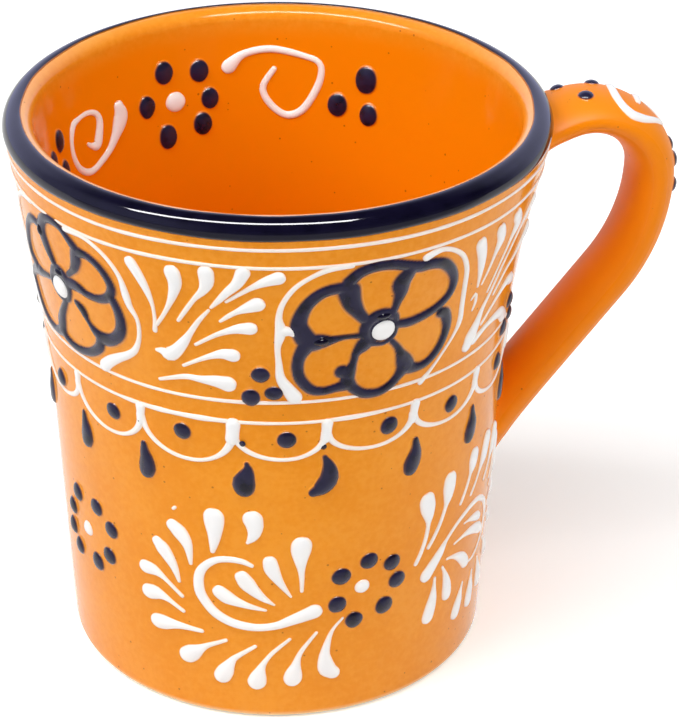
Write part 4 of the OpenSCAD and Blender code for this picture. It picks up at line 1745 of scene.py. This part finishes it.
    @staticmethod
    def _brackets(wide_open: bool) -> list[list[Node]]:
        """Draws white brackets left and right of a flower.

        Args:
            wide_open: True beside the flower that opens to the front.

        Returns:
            Their lines.
        """
        left = [(-5.8, 13.2, 1), (-9, 13, 1.2), (-12, 11.7, 0.9), (-14.6, 9.7, 0.95), (-16.4, 6.8, 1)]
        left += [(-17, 4, 1.2), (-16.7, 1.4, 2), (-17.2, -1.8, 1.1), (-17, -5, 1.2), (-16.7, -8, 1.7)]
        left += [(-15.5, -10.2, 2.4), (-14.4, -11.9, 2.8)]
        nub = [(-16.3, 1.5, 2.2), (-15.2, 1.3, 1.8), (-14.2, 0.3, 0.6)]
        if wide_open:
            right = [(7, 11.9, 1.6), (8.6, 12.4, 1.4), (10.4, 12.4, 1), (12.6, 11.4, 0.9), (14.8, 9.5, 1)]
            right += [(16.2, 6.5, 1.2), (16.5, 3, 1.25), (16.7, -1, 1.25), (16.8, -4, 1.3), (15.8, -6.4, 0.9)]
            right += [(13.6, -9.2, 0.75), (11.2, -11.8, 0.9), (9.3, -13.5, 1.35)]
        else:
            right = [(5, 12.7, 1.2), (9, 12.9, 0.95), (12, 11.9, 0.95), (14.4, 10.1, 1), (16.1, 7.6, 1.1)]
            right += [(16.8, 4.6, 1.7), (17.3, 2.4, 1.4), (18.4, 0.4, 0.95), (18.6, -1.8, 0.9)]
            right += [(18.2, -4.2, 1), (17.1, -6.5, 1.3), (15.4, -8, 1.5), (13.2, -9.3, 1.8)]
            right += [(11, -10.8, 2.2), (9.5, -12.2, 2.5)]
        return [left, nub, right]

    @staticmethod
    def _full_frond() -> list[list[Node]]:
        """Draws nine tapering strokes on both sides of a slanting stem.

        Returns:
            The stem and the strokes.
        """
        stem = [(-9.2, -5, 0.8), (-8.2, -5, 1.6), (-7, -5.3, 2.8), (-5.6, -4.2, 2.4), (-4.1, -2.2, 1.8)]
        stem += [(-3, -0.4, 1.2), (-1.2, 2.6, 0.9), (0.5, 4.8, 0.6)]
        return [
            stem,
            [(-12.2, 11.3, 2.3), (-10.9, 9, 2), (-9.8, 6.4, 1.4), (-9.1, 3.8, 0.8),
             (-9, 1, 0.8), (-9.2, -1, 1)],
            [(-5, 11.1, 2.9), (-4.7, 9.3, 2.5), (-5.2, 7.1, 1.7), (-6.2, 4.6, 1),
             (-7.4, 2.3, 0.8), (-8.7, 0.3, 0.8)],
            [(0.5, 12, 2.7), (0.5, 10.2, 2.5), (-0.2, 8.5, 1.6), (-1.7, 6.7, 0.9),
             (-3.2, 4.4, 0.9), (-4.7, 2, 0.7)],
            [(6.2, 12.5, 2.4), (5.3, 10.5, 1.9), (3.6, 8.6, 1.5), (2.2, 6.9, 1.1), (1, 5.5, 0.6)],
            [(11.5, 11.7, 2.5), (9.6, 11, 1.9), (7.6, 9.9, 1.1), (5.6, 8.5, 0.8), (3.5, 6.9, 0.6)],
            [(8.2, 6.6, 2.8), (6.7, 5.9, 2), (5, 5, 1.1), (3.6, 4, 0.9), (2.4, 3, 0.6)],
            [(7, 1.9, 2.6), (5.2, 1.7, 2), (3.5, 1.1, 1.3), (1.3, 0, 0.9), (-2, -2.3, 0.7)],
            [(4, -3.7, 2.7), (2.4, -3.6, 2), (0.6, -4.2, 1.3), (-1.6, -5.3, 0.9), (-4.5, -7, 0.7)],
            [(2.9, -9.6, 3.2), (1, -9.3, 2.4), (-1.6, -9.3, 1.5), (-4.6, -9.3, 1.1), (-9.3, -10.9, 0.7)],
        ]

    @staticmethod
    def _sparse_frond() -> list[list[Node]]:
        """Draws seven strokes on both sides of a stem with a round foot.

        Returns:
            The stem and the strokes.
        """
        stem = [(-10, -10.4, 2.6), (-9.2, -9, 3.4), (-8, -6.6, 2.1), (-6.8, -4.2, 1.2), (-4.6, -1.4, 0.9)]
        stem += [(-2.4, 1.8, 0.8), (1.5, 6.3, 0.9), (4, 8.8, 1.2), (6.6, 10.6, 2)]
        return [
            stem,
            [(-11.4, 10.2, 2.6), (-10.6, 8, 2.4), (-10.1, 5.4, 1.8), (-9.9, 3.2, 1.1), (-9.9, 1.4, 0.7)],
            [(-6.2, 10.7, 2.5), (-5.6, 8.9, 2.4), (-6.3, 6.4, 1.2), (-7.4, 3.6, 0.8), (-8.7, 1.3, 0.6)],
            [(-1, 11.2, 2.5), (-0.2, 9.5, 2.5), (-1.5, 6.7, 1.1), (-3.5, 3.2, 0.8), (-6.2, -1.3, 0.7)],
            [(8, 4.4, 2.6), (6, 3, 1.6), (3, 1.2, 1), (0, 0.1, 0.9), (-3.7, -3, 0.7)],
            [(3.8, -3.6, 2.5), (2, -3.2, 1.8), (-0.4, -4, 1.2), (-3, -5.4, 0.9), (-6.2, -7.8, 0.8)],
            [(4, -11, 2.8), (1.8, -9.4, 2.4), (-1, -8.9, 1.7), (-4.4, -9.2, 1.3), (-8, -10.4, 1.6)],
            [(-11, -0.8, 0.6), (-10, -0.1, 0.8), (-9.7, -1.8, 0.9), (-10.2, -3.2, 0.6)],
        ]


@dataclass(frozen=True)
class LowerBelt(Ornament):
    """The lower wall: swirls with their plumes, and rosettes of dots."""

    z: float = 27.0
    turn: float = 1.474
    swirls: tuple[Pair, ...] = ((-112, 0), (-36, 205), (48, 0), (132, 205))
    rosettes: tuple[float, ...] = (-160, -78, 90)
    turned_slim: float = 0.62
    head_width: float = 2.15
    dot: float = 3.5
    eye: float = 2.9
    first_eye: Pair = (1.0, 2.1)

    def build(self, finishes: Finishes) -> None:
        """Trails the belt.

        Args:
            finishes: The materials.
        """
        for i, (at, spin) in enumerate(self.swirls, 1):
            place = self.place(at)
            swirl, plumes = Deposit(WHITE_LINE), Deposit(WHITE_LINE)
            slim = self.turned_slim if spin else 1.0
            curl = [(x, y, wide * slim if wide < self.head_width else wide) for x, y, wide in self._curl()]
            swirl.line(turned(curl, spin), place, 0.03)
            swirl.finish(f"swirl_{i}", finishes)
            for nodes in self._turned_plumes() if spin else self._plumes():
                plumes.line(nodes, place, 0.04)
            plumes.finish(f"plumes_{i}", finishes)
        eyes = Deposit(WHITE_EYE)
        for i, at in enumerate(self.rosettes, 1):
            place = self.place(at)
            rosette = Deposit(NAVY_DROP)
            for x, y in self._dots(i == 1):
                rosette.drop(x, y, self.dot, self.dot, place)
            rosette.finish(f"rosette_{i}", finishes)
            x, y = self.first_eye if i == 1 else (0.0, 0.0)
            eyes.drop(x, y, self.eye, self.eye, place)
        eyes.finish("rosette_eyes", finishes)

    @staticmethod
    def _curl() -> list[Node]:
        """Draws a thick line that curls round and ends in a round head.

        Returns:
            Its points.
        """
        upper = [(3.7, 6.3, 0.9), (2.2, 7, 1.2), (0, 7.2, 1.3), (-2.4, 6.7, 1.4), (-4.4, 5.1, 1.6)]
        left = [(-5.5, 3, 1.9), (-5.6, 0, 2.1), (-4.8, -2, 2.1), (-3, -4.4, 2), (-0.4, -6, 1.9)]
        lower = [(2.2, -6.7, 1.8), (5, -6.9, 1.6), (8, -6.4, 1.7), (10.4, -5.4, 2.2), (14.4, -3.8, 3.1)]
        return upper + left + lower

    @staticmethod
    def _plumes() -> list[list[Node]]:
        """Draws plumes in and around an upright swirl, and one spilt speck.

        Returns:
            Their lines.
        """
        return [
            [(-1.8, 0, 2.8), (-0.6, -0.9, 2.9), (1.2, -1.7, 2), (3.2, -2.4, 1.3), (6, -3.1, 0.6)],
            [(2.2, 3.6, 2.8), (3, 2.3, 3.1), (4.2, 0.9, 2.3), (5.6, -0.5, 1.5), (7.5, -1.9, 0.5)],
            [(6.9, 7.1, 2.6), (7.2, 5.6, 2.8), (8, 3.8, 2), (8.9, 2.2, 1.3), (10.4, -0.2, 0.5)],
            [(12.2, 10.4, 3.7), (12.1, 9, 3.5), (12.1, 7.2, 2.4), (12.2, 5.2, 1.3),
             (12.3, 3, 0.9), (12.3, 0.9, 0.7)],
            [(4.1, 15.9, 3.5), (4.4, 14.5, 3), (4.3, 13, 2.3), (3.8, 11.9, 1.6), (3.2, 11.1, 0.7)],
            [(-2.5, 15.6, 3.7), (-2.5, 14.2, 3.6), (-2.5, 12, 2.6), (-2.7, 10, 1.7), (-2.9, 8.6, 1)],
            [(-9.9, 12.1, 2.7), (-8.9, 11.2, 3.2), (-7.8, 9.6, 2.6), (-7.3, 8, 1.7), (-7, 5.1, 0.8)],
            [(-13.2, 7.7, 2.3), (-12.3, 6.7, 3.1), (-11.1, 5, 2.5), (-10.2, 3.3, 1.7), (-9.4, 0.7, 0.8)],
            [(-16, 1.4, 2.9), (-14.4, 1.4, 2.5), (-13, 0.8, 1.5), (-11.6, -0.2, 1), (-9, -2.4, 0.9)],
            [(-15.6, -3.7, 3.2), (-14.2, -3.4, 3), (-12.8, -3.6, 1.9), (-11.2, -4.3, 1.1),
             (-8.9, -5.6, 0.9)],
            [(-14, -9.5, 3.3), (-12.6, -9.3, 3.1), (-11, -9.1, 2.2), (-9, -9, 1.4), (-5.5, -9.1, 0.9)],
            [(-8.2, -14.9, 3.6), (-7.2, -14.1, 3.4), (-5.8, -13, 1.9), (-4.4, -12, 1.1),
             (-1.1, -10.3, 0.8)],
            [(-1.8, -18, 3.4), (-1.2, -16.8, 3.2), (-0.4, -15.2, 2), (0.6, -13.8, 1.2), (4.1, -11.1, 0.8)],
            [(4.4, -18.7, 3.5), (4.7, -17.4, 3), (5.2, -15.7, 1.6), (6, -14.1, 1),
             (7.4, -12.2, 0.9), (10.2, -9.5, 0.7)],
            [(10.8, -18, 3.5), (11, -16.8, 3.1), (11.4, -15, 1.7), (11.8, -13.4, 1.1),
             (12.7, -11.6, 0.9), (14.9, -8.5, 0.7)],
            [(18, -17.6, 2.8), (17, -16.6, 3.4), (16.6, -14.8, 2.7), (16.6, -12.8, 1.8),
             (17.7, -8.6, 0.8), (19.6, -6.1, 0.6)],
            [(-9.7, 15.8, 0.7), (-9.5, 16, 0.7)],
        ]

    @staticmethod
    def _turned_plumes() -> list[list[Node]]:
        """Draws plumes in and around a swirl that is turned over.

        Returns:
            Their lines.
        """
        bulb, leaf, pin = Taper.BULB, Taper.LEAF, Taper.PIN
        strokes = (
            ((-15.8, 13.4), (-17.5, 1), 3.5, -0.22, pin),
            ((-10.2, 15.2), (-14.7, 3.3), 3.4, -0.18, pin),
            ((-2.8, 16.6), (-6.3, 8.4), 3.1, -0.12, pin),
            ((2.8, 17), (-2.7, 8.3), 3.1, -0.12, bulb),
            ((8.4, 15.4), (3.2, 8.2), 3.2, -0.1, bulb),
            ((12.8, 11.2), (7.6, 5.9), 3.2, -0.08, bulb),
            ((1.6, 1.2), (-4.2, 2.9), 2.0, 0.1, leaf),
            ((3.2, -2.3), (-7.2, 0.2), 2.4, 0.18, leaf),
            ((-2.6, -6.2), (-9.2, -2), 2.6, 0.2, leaf),
            ((-13.5, -12.2), (-12.4, -4.6), 3.2, 0.08, leaf),
            ((-8.5, -9.8), (-10.4, -3.2), 2.8, 0.12, leaf),
            ((-4.8, -16), (-2.8, -10.8), 3.0, 0, leaf),
            ((0.6, -16.4), (1.4, -10.6), 3.0, 0, leaf),
            ((5.8, -15), (4.2, -9.2), 3.0, 0.06, leaf),
            ((10.6, -11.2), (6.9, -6.4), 3.1, 0.08, bulb),
            ((13, -5.4), (8.6, -3), 3.1, 0.08, bulb),
            ((14.4, 0.4), (9.4, 0.4), 3.2, 0.05, bulb),
            ((14.2, 6), (9, 3.4), 3.0, -0.05, bulb),
        )
        return [stroke(*each) for each in strokes]

    @staticmethod
    def _dots(first: bool) -> list[Pair]:
        """Places dots round an eye, eight on the first rosette and seven on the others.

        Args:
            first: True for the first rosette.

        Returns:
            Their middles.
        """
        if first:
            upper = [(-1.9, 8.2), (4.7, 8.5), (8.6, 5.7), (7.6, -0.3)]
            return [*upper, (3.7, -3.5), (-3.2, -4), (-5.8, -1), (-4.8, 3.7)]
        return [(-3.9, 3.1), (1.1, 5.2), (5.6, 3.5), (6.9, -0.6), (4.4, -5.3), (-1.3, -6.8), (-4.5, -2.8)]


@dataclass(frozen=True)
class InsideBelt(Ornament):
    """Ornament inside the cup: a rosette, two scrolls and three dots at each end, twice."""

    z: float = 86.5
    turn: float = 1.479
    inside: bool = True
    at: tuple[float, ...] = (108, -72)
    glaze_depth: float = 0.5
    dot_stretch: float = 1.18
    eye: Spot = (0.0, -0.25, 3.9, 3.7)

    def build(self, finishes: Finishes) -> None:
        """Trails both groups.

        Args:
            finishes: The materials.
        """
        eyes = Deposit(WHITE_EYE, self.glaze_depth)
        for i, at in enumerate(self.at, 1):
            place = self.place(at)
            scrolls, dots = Deposit(WHITE_LINE, self.glaze_depth), Deposit(NAVY_DROP, self.glaze_depth)
            for nodes in self._scrolls():
                scrolls.line(nodes, place)
            scrolls.finish(f"inside_scrolls_{i}", finishes)
            for x, y, size in self._dots():
                dots.drop(x, y, size, self.dot_stretch * size, place)
            dots.finish(f"inside_dots_{i}", finishes)
            eyes.drop(*self.eye, place)
        eyes.finish("inside_eyes", finishes)

    @staticmethod
    def _scrolls() -> list[list[Node]]:
        """Draws the left and the right scroll.

        Returns:
            Their lines.
        """
        left = [(-12.1, 2, 2.2), (-11.9, 0.4, 3.3), (-12.6, -1.2, 3.2), (-13.9, -3, 2.2), (-15.7, -4.9, 1.6)]
        left += [(-18, -6.1, 1.5), (-20.6, -6.9, 1.4), (-22.8, -6.6, 1.4), (-25, -5, 1.4), (-26.3, -2.4, 1.3)]
        left += [(-26.3, 0.4, 1.2), (-25, 3, 1.6), (-23.1, 3.5, 1.1), (-20.3, 3.6, 1), (-18, 2.8, 1.2)]
        left += [(-17.2, 1.2, 1.7), (-17.8, -1, 2), (-18.8, -2.8, 2.2), (-20.2, -2.6, 1.2)]
        left += [(-21.2, -1.9, 0.8)]
        right = [(10.6, 4.9, 2.8), (13.2, 6.9, 1.5), (18, 7.7, 1.4), (23.6, 6.6, 1.2), (26.9, 5.2, 1.2)]
        right += [(26.8, 1.5, 1.4), (24.1, -3.4, 1.5), (21, -4.7, 1.4), (18, -2.7, 1.4), (16.6, 0.5, 1.3)]
        return [left, [*right, (18.6, 3.9, 1.1)]]

    @staticmethod
    def _dots() -> list[Node]:
        """Places the rosette's dots, and three at each end.

        Returns:
            Each dot's x, y and size.
        """
        ring = [(-1.8, 5.6, 3.6), (5, 4.7, 3.7), (6.7, -0.6, 3.5), (5.1, -5.2, 3.7), (-2.2, -6.4, 3.7)]
        right = [(35.6, 3.3, 4.3), (30.5, -2.1, 3.9), (36.6, -3.1, 3.6)]
        return [*ring, (-5.9, 0.1, 3.6), *right, (-30.8, 2.8, 3.5), (-30.6, -3, 3.4), (-35.2, 0.9, 3.3)]


@dataclass(frozen=True)
class HandleOrnament:
    """A white leaf over the handle's bend, with three dots on each side of it."""

    strap: Strap
    glaze_depth: float = 1.0
    dot: float = 2.8
    dots: tuple[Pair, ...] = (
        (-1.8, 4.2), (4.6, 0.3), (4.1, 7.1), (0.4, 26.2), (-1.7, 28.3), (-3.4, 32.6)
    )

    def build(self, finishes: Finishes) -> None:
        """Trails the leaf and the dots.

        Args:
            finishes: The materials.
        """
        leaf, dots = Deposit(WHITE_LINE, self.glaze_depth), Deposit(NAVY_DROP, self.glaze_depth)
        near = [(5.2, 11, 1.4), (1.6, 10.1, 1.7), (-2, 9.9, 1.9), (-4.2, 10.6, 2), (-5.4, 12, 2)]
        near += [(-5.6, 13.8, 1.8), (-4.8, 16.5, 1.6), (-2.2, 19.9, 1.3), (-0.4, 21.4, 0.9)]
        far = [(5, 10.9, 1.1), (6.4, 13, 1.3), (5.8, 16.2, 1.4), (3, 19.6, 1.2), (-0.4, 21.4, 0.9)]
        vein = [(-1.2, 14.6, 1.2), (1, 15.2, 1.8), (3, 15.8, 1.8), (5, 16.5, 1)]
        for nodes in (near, far, vein):
            leaf.line(nodes, self.strap, 0.1)
        leaf.finish("handle_leaf", finishes)
        for x, y in self.dots:
            dots.drop(x, y, self.dot, self.dot, self.strap)
        dots.finish("handle_dots", finishes)


@dataclass(frozen=True)
class SoftBox:
    """A soft light, hung between two ends that are given as seen from the camera, in metres."""

    name: str
    left: Way
    right: Way
    depth: float
    watts: float
    role: LightRole


@dataclass(frozen=True)
class Studio:
    """The camera, the pale floor and the soft light."""

    turn: float = -FRONT_TURN
    camera_distance: float = 0.4323
    camera_height: float = 0.2972
    yaw: float = 1.49
    pitch: float = 29.62
    roll: float = 0.516
    focal_px: float = 2780.4
    long_side_px: float = 720.0
    sensor: float = 36.0
    floor_size: float = 8.0
    floor_z: float = -0.05
    floor_tone: float = 0.8
    floor_shown: float = 1.0
    floor_glow: float = 0.28
    floor_mirrored: float = 0.5
    floor_sides: int = 64
    side_glow: float = 0.72
    side_glow_ends: Pair = (0.03, 0.12)
    sky: float = 0.36
    room_tint: Colour = (0.66, 0.68, 1.0)
    room_turn: Pair = (-0.6, 0.0)
    room_back: float = 1.4
    back_heights: Pair = (0.5, 0.9)
    back_above: float = 0.06
    room_left: float = 0.7
    left_turn: Pair = (0.2, 0.8)
    left_heights: Pair = (0.4, 0.9)
    room_front: float = 0.14
    front_heights: Pair = (0.05, 0.35)
    front_above: float = 0.02
    aim_z: float = 0.05
    boxes: tuple[SoftBox, ...] = (
        SoftBox("left_light", (-0.91, -0.03, 0.74), (-0.53, -0.74, 0.74), 0.7, 5.2, LightRole.LIGHTS),
        SoftBox("over_light", (-0.84, -0.125, 1.0), (0.395, -0.393, 1.0), 0.1, 5.3, LightRole.LIGHTS),
        SoftBox("rim_shine", (-0.94, -0.3, 1.0), (0.395, -0.393, 1.0), 0.15, 24.0, LightRole.SHINES),
        SoftBox("right_fill", (0.58, -0.83, 0.55), (0.98, -0.26, 0.55), 0.7, 2.9, LightRole.LIGHTS),
    )

    def build(self) -> None:
        """Sets up the whole studio."""
        self._camera()
        self._floor()
        self._world()
        for box in self.boxes:
            self._light(box)
        bpy.context.scene.view_settings.view_transform = "Standard"

    def _facing(self) -> Matrix:
        """Turn from the camera's side view to the part's frame."""
        return Matrix.Rotation(math.radians(self.turn), 3, "Z")

    def _camera(self) -> None:
        """Stands the camera where the photograph was taken."""
        yaw, pitch, roll = (math.radians(a) for a in (self.yaw, self.pitch, self.roll))
        level = math.cos(pitch)
        ahead = Vector((math.sin(yaw) * level, math.cos(yaw) * level, -math.sin(pitch)))
        right = ahead.cross(Vector((0, 0, 1))).normalized()
        up = right.cross(ahead)
        level_right = math.cos(roll) * right + math.sin(roll) * up
        level_up = math.cos(roll) * up - math.sin(roll) * right
        axes = self._facing() @ Matrix((level_right, level_up, -ahead)).transposed()
        data = bpy.data.cameras.new("photo_camera")
        data.sensor_width = self.sensor
        data.lens = self.focal_px * self.sensor / self.long_side_px
        camera = bpy.data.objects.new("photo_camera", data)
        stand = self._facing() @ Vector((0, -self.camera_distance, self.camera_height))
        camera.matrix_world = Matrix.Translation(stand) @ axes.to_4x4()
        bpy.context.scene.collection.objects.link(camera)
        bpy.context.scene.camera = camera

    def _floor(self) -> None:
        """Lays the pale floor, which keeps the mug's shadow."""
        bm = bmesh.new()
        bmesh.ops.create_circle(bm, cap_ends=True, segments=self.floor_sides, radius=self.floor_size / 2)
        bmesh.ops.translate(bm, verts=bm.verts[:], vec=(0, 0, self.floor_z * MM))
        mesh = bpy.data.meshes.new("floor")
        bm.to_mesh(mesh)
        bm.free()
        floor = bpy.data.objects.new("floor", mesh)
        bpy.context.scene.collection.objects.link(floor)
        material, recipe = new_material("floor")
        path = recipe.node("ShaderNodeLightPath")
        seen, mirrored = self._seen(recipe, path), self._mirrored(recipe, path)
        geometry = recipe.node("ShaderNodeNewGeometry")
        ahead = self._along(recipe, geometry.outputs["Position"], (0, -1, 0))
        beside = recipe.ramp(ahead, *self.side_glow_ends, self.side_glow, 0.0)
        glow = seen * self.floor_glow + mirrored * beside
        white = recipe.node("ShaderNodeEmission", {"Color": (1, 1, 1, 1), "Strength": glow})
        lit, shown, dim = ((t, t, t) for t in (self.floor_tone, self.floor_shown, self.floor_mirrored))
        tone = recipe.mix(mirrored, recipe.mix(seen, lit, shown), dim)
        paint = recipe.node("ShaderNodeBsdfDiffuse", {"Color": tone})
        both = recipe.node("ShaderNodeAddShader", {0: white.outputs[0], 1: paint.outputs[0]})
        clear = recipe.node("ShaderNodeBsdfTransparent")
        behind = recipe.value(geometry, "Backfacing")
        side = recipe.node("ShaderNodeMixShader", {0: behind, 1: both.outputs[0], 2: clear.outputs[0]})
        recipe.node("ShaderNodeOutputMaterial", {"Surface": side.outputs[0]})
        mesh.materials.append(material)

    def _along(self, recipe: Recipe, place: Socket, way: Way) -> Value:
        """Measures a place or a direction along a way.

        Args:
            recipe: The tree to add to.
            place: The place or the direction.
            way: The way, as seen from the camera.

        Returns:
            How far it lies along it.
        """
        sockets = {0: place, 1: self._facing() @ Vector(way)}
        product = recipe.node("ShaderNodeVectorMath", sockets, operation="DOT_PRODUCT")
        return recipe.value(product, "Value")

    @staticmethod
    def _seen(recipe: Recipe, path: bpy.types.Node) -> Value:
        """1 for rays straight from the camera."""
        return recipe.value(path, "Is Camera Ray")

    @staticmethod
    def _mirrored(recipe: Recipe, path: bpy.types.Node) -> Value:
        """1 for rays that show a surface in a reflection or through a clear one."""
        return recipe.value(path, "Is Glossy Ray").at_least(recipe.value(path, "Is Transmission Ray"))

    def _world(self) -> None:
        """Even light all round; reflections see a room that is dark above and pale near the horizon."""
        world = bpy.data.worlds.new("studio")
        bpy.context.scene.world = world
        world.use_nodes = True
        recipe = Recipe(world.node_tree)
        path = recipe.node("ShaderNodeLightPath")
        way = recipe.node("ShaderNodeTexCoord").outputs["Generated"]
        height = recipe.value(recipe.node("ShaderNodeSeparateXYZ", {0: way}), "Z")
        ahead = self._along(recipe, way, (0, -1, 0))
        aside = self._along(recipe, way, (-1, 0, 0))
        back = recipe.ramp(height, *self.back_heights, self.room_back, self.back_above)
        left = recipe.ramp(height, *self.left_heights, 1.0, 0.0) * recipe.ramp(aside, *self.left_turn)
        front = recipe.ramp(height, *self.front_heights, self.room_front, self.front_above)
        behind = back * recipe.ramp(ahead, *self.room_turn, 1.0, 0.0)
        before = front * recipe.ramp(ahead, *self.room_turn)
        room = (behind + before).at_least(left * self.room_left)
        level = self.sky + self._mirrored(recipe, path) * (room - self.sky)
        strength = level + self._seen(recipe, path) * (1.0 - level)
        tint = recipe.mix(self._mirrored(recipe, path), (1.0, 1.0, 1.0), self.room_tint)
        sky = recipe.node("ShaderNodeBackground", {"Color": tint, "Strength": strength})
        recipe.node("ShaderNodeOutputWorld", {"Surface": sky.outputs[0]})

    def _light(self, box: SoftBox) -> None:
        """Hangs one soft light and aims it at the mug.

        Args:
            box: Its place, size and power.
        """
        left, right = (self._facing() @ Vector(end) for end in (box.left, box.right))
        middle = (left + right) / 2
        along = (right - left).normalized()
        away = middle - Vector((0, 0, self.aim_z))
        away = (away - along * away.dot(along)).normalized()
        axes = Matrix((along, away.cross(along), away)).transposed()
        data = bpy.data.lights.new(box.name, "AREA")
        data.shape = "RECTANGLE"
        data.size = (right - left).length
        data.size_y = box.depth
        data.energy = box.watts
        light = bpy.data.objects.new(box.name, data)
        light.matrix_world = Matrix.Translation(middle) @ axes.to_4x4()
        light.visible_glossy = box.role is LightRole.SHINES
        light.visible_diffuse = box.role is LightRole.LIGHTS
        bpy.context.scene.collection.objects.link(light)


def main() -> None:
    """Builds the studio and every piece of the mug, in order."""
    logging.basicConfig(level=logging.INFO, format="%(name)s: %(message)s")
    Studio().build()
    finishes = Finishes.mixed()
    wall = Wall.from_frame()
    strap = Strap(wall)
    ClayCup(wall).build(finishes)
    strap.build(finishes)
    LipCoat(wall).build(finishes)
    RingLines(wall, strap).build(finishes)
    Garland(wall).build(finishes)
    Frieze(wall).build(finishes)
    LowerBelt(wall).build(finishes)
    InsideBelt(wall).build(finishes)
    HandleOrnament(strap).build(finishes)


if __name__ == "__main__":
    main()
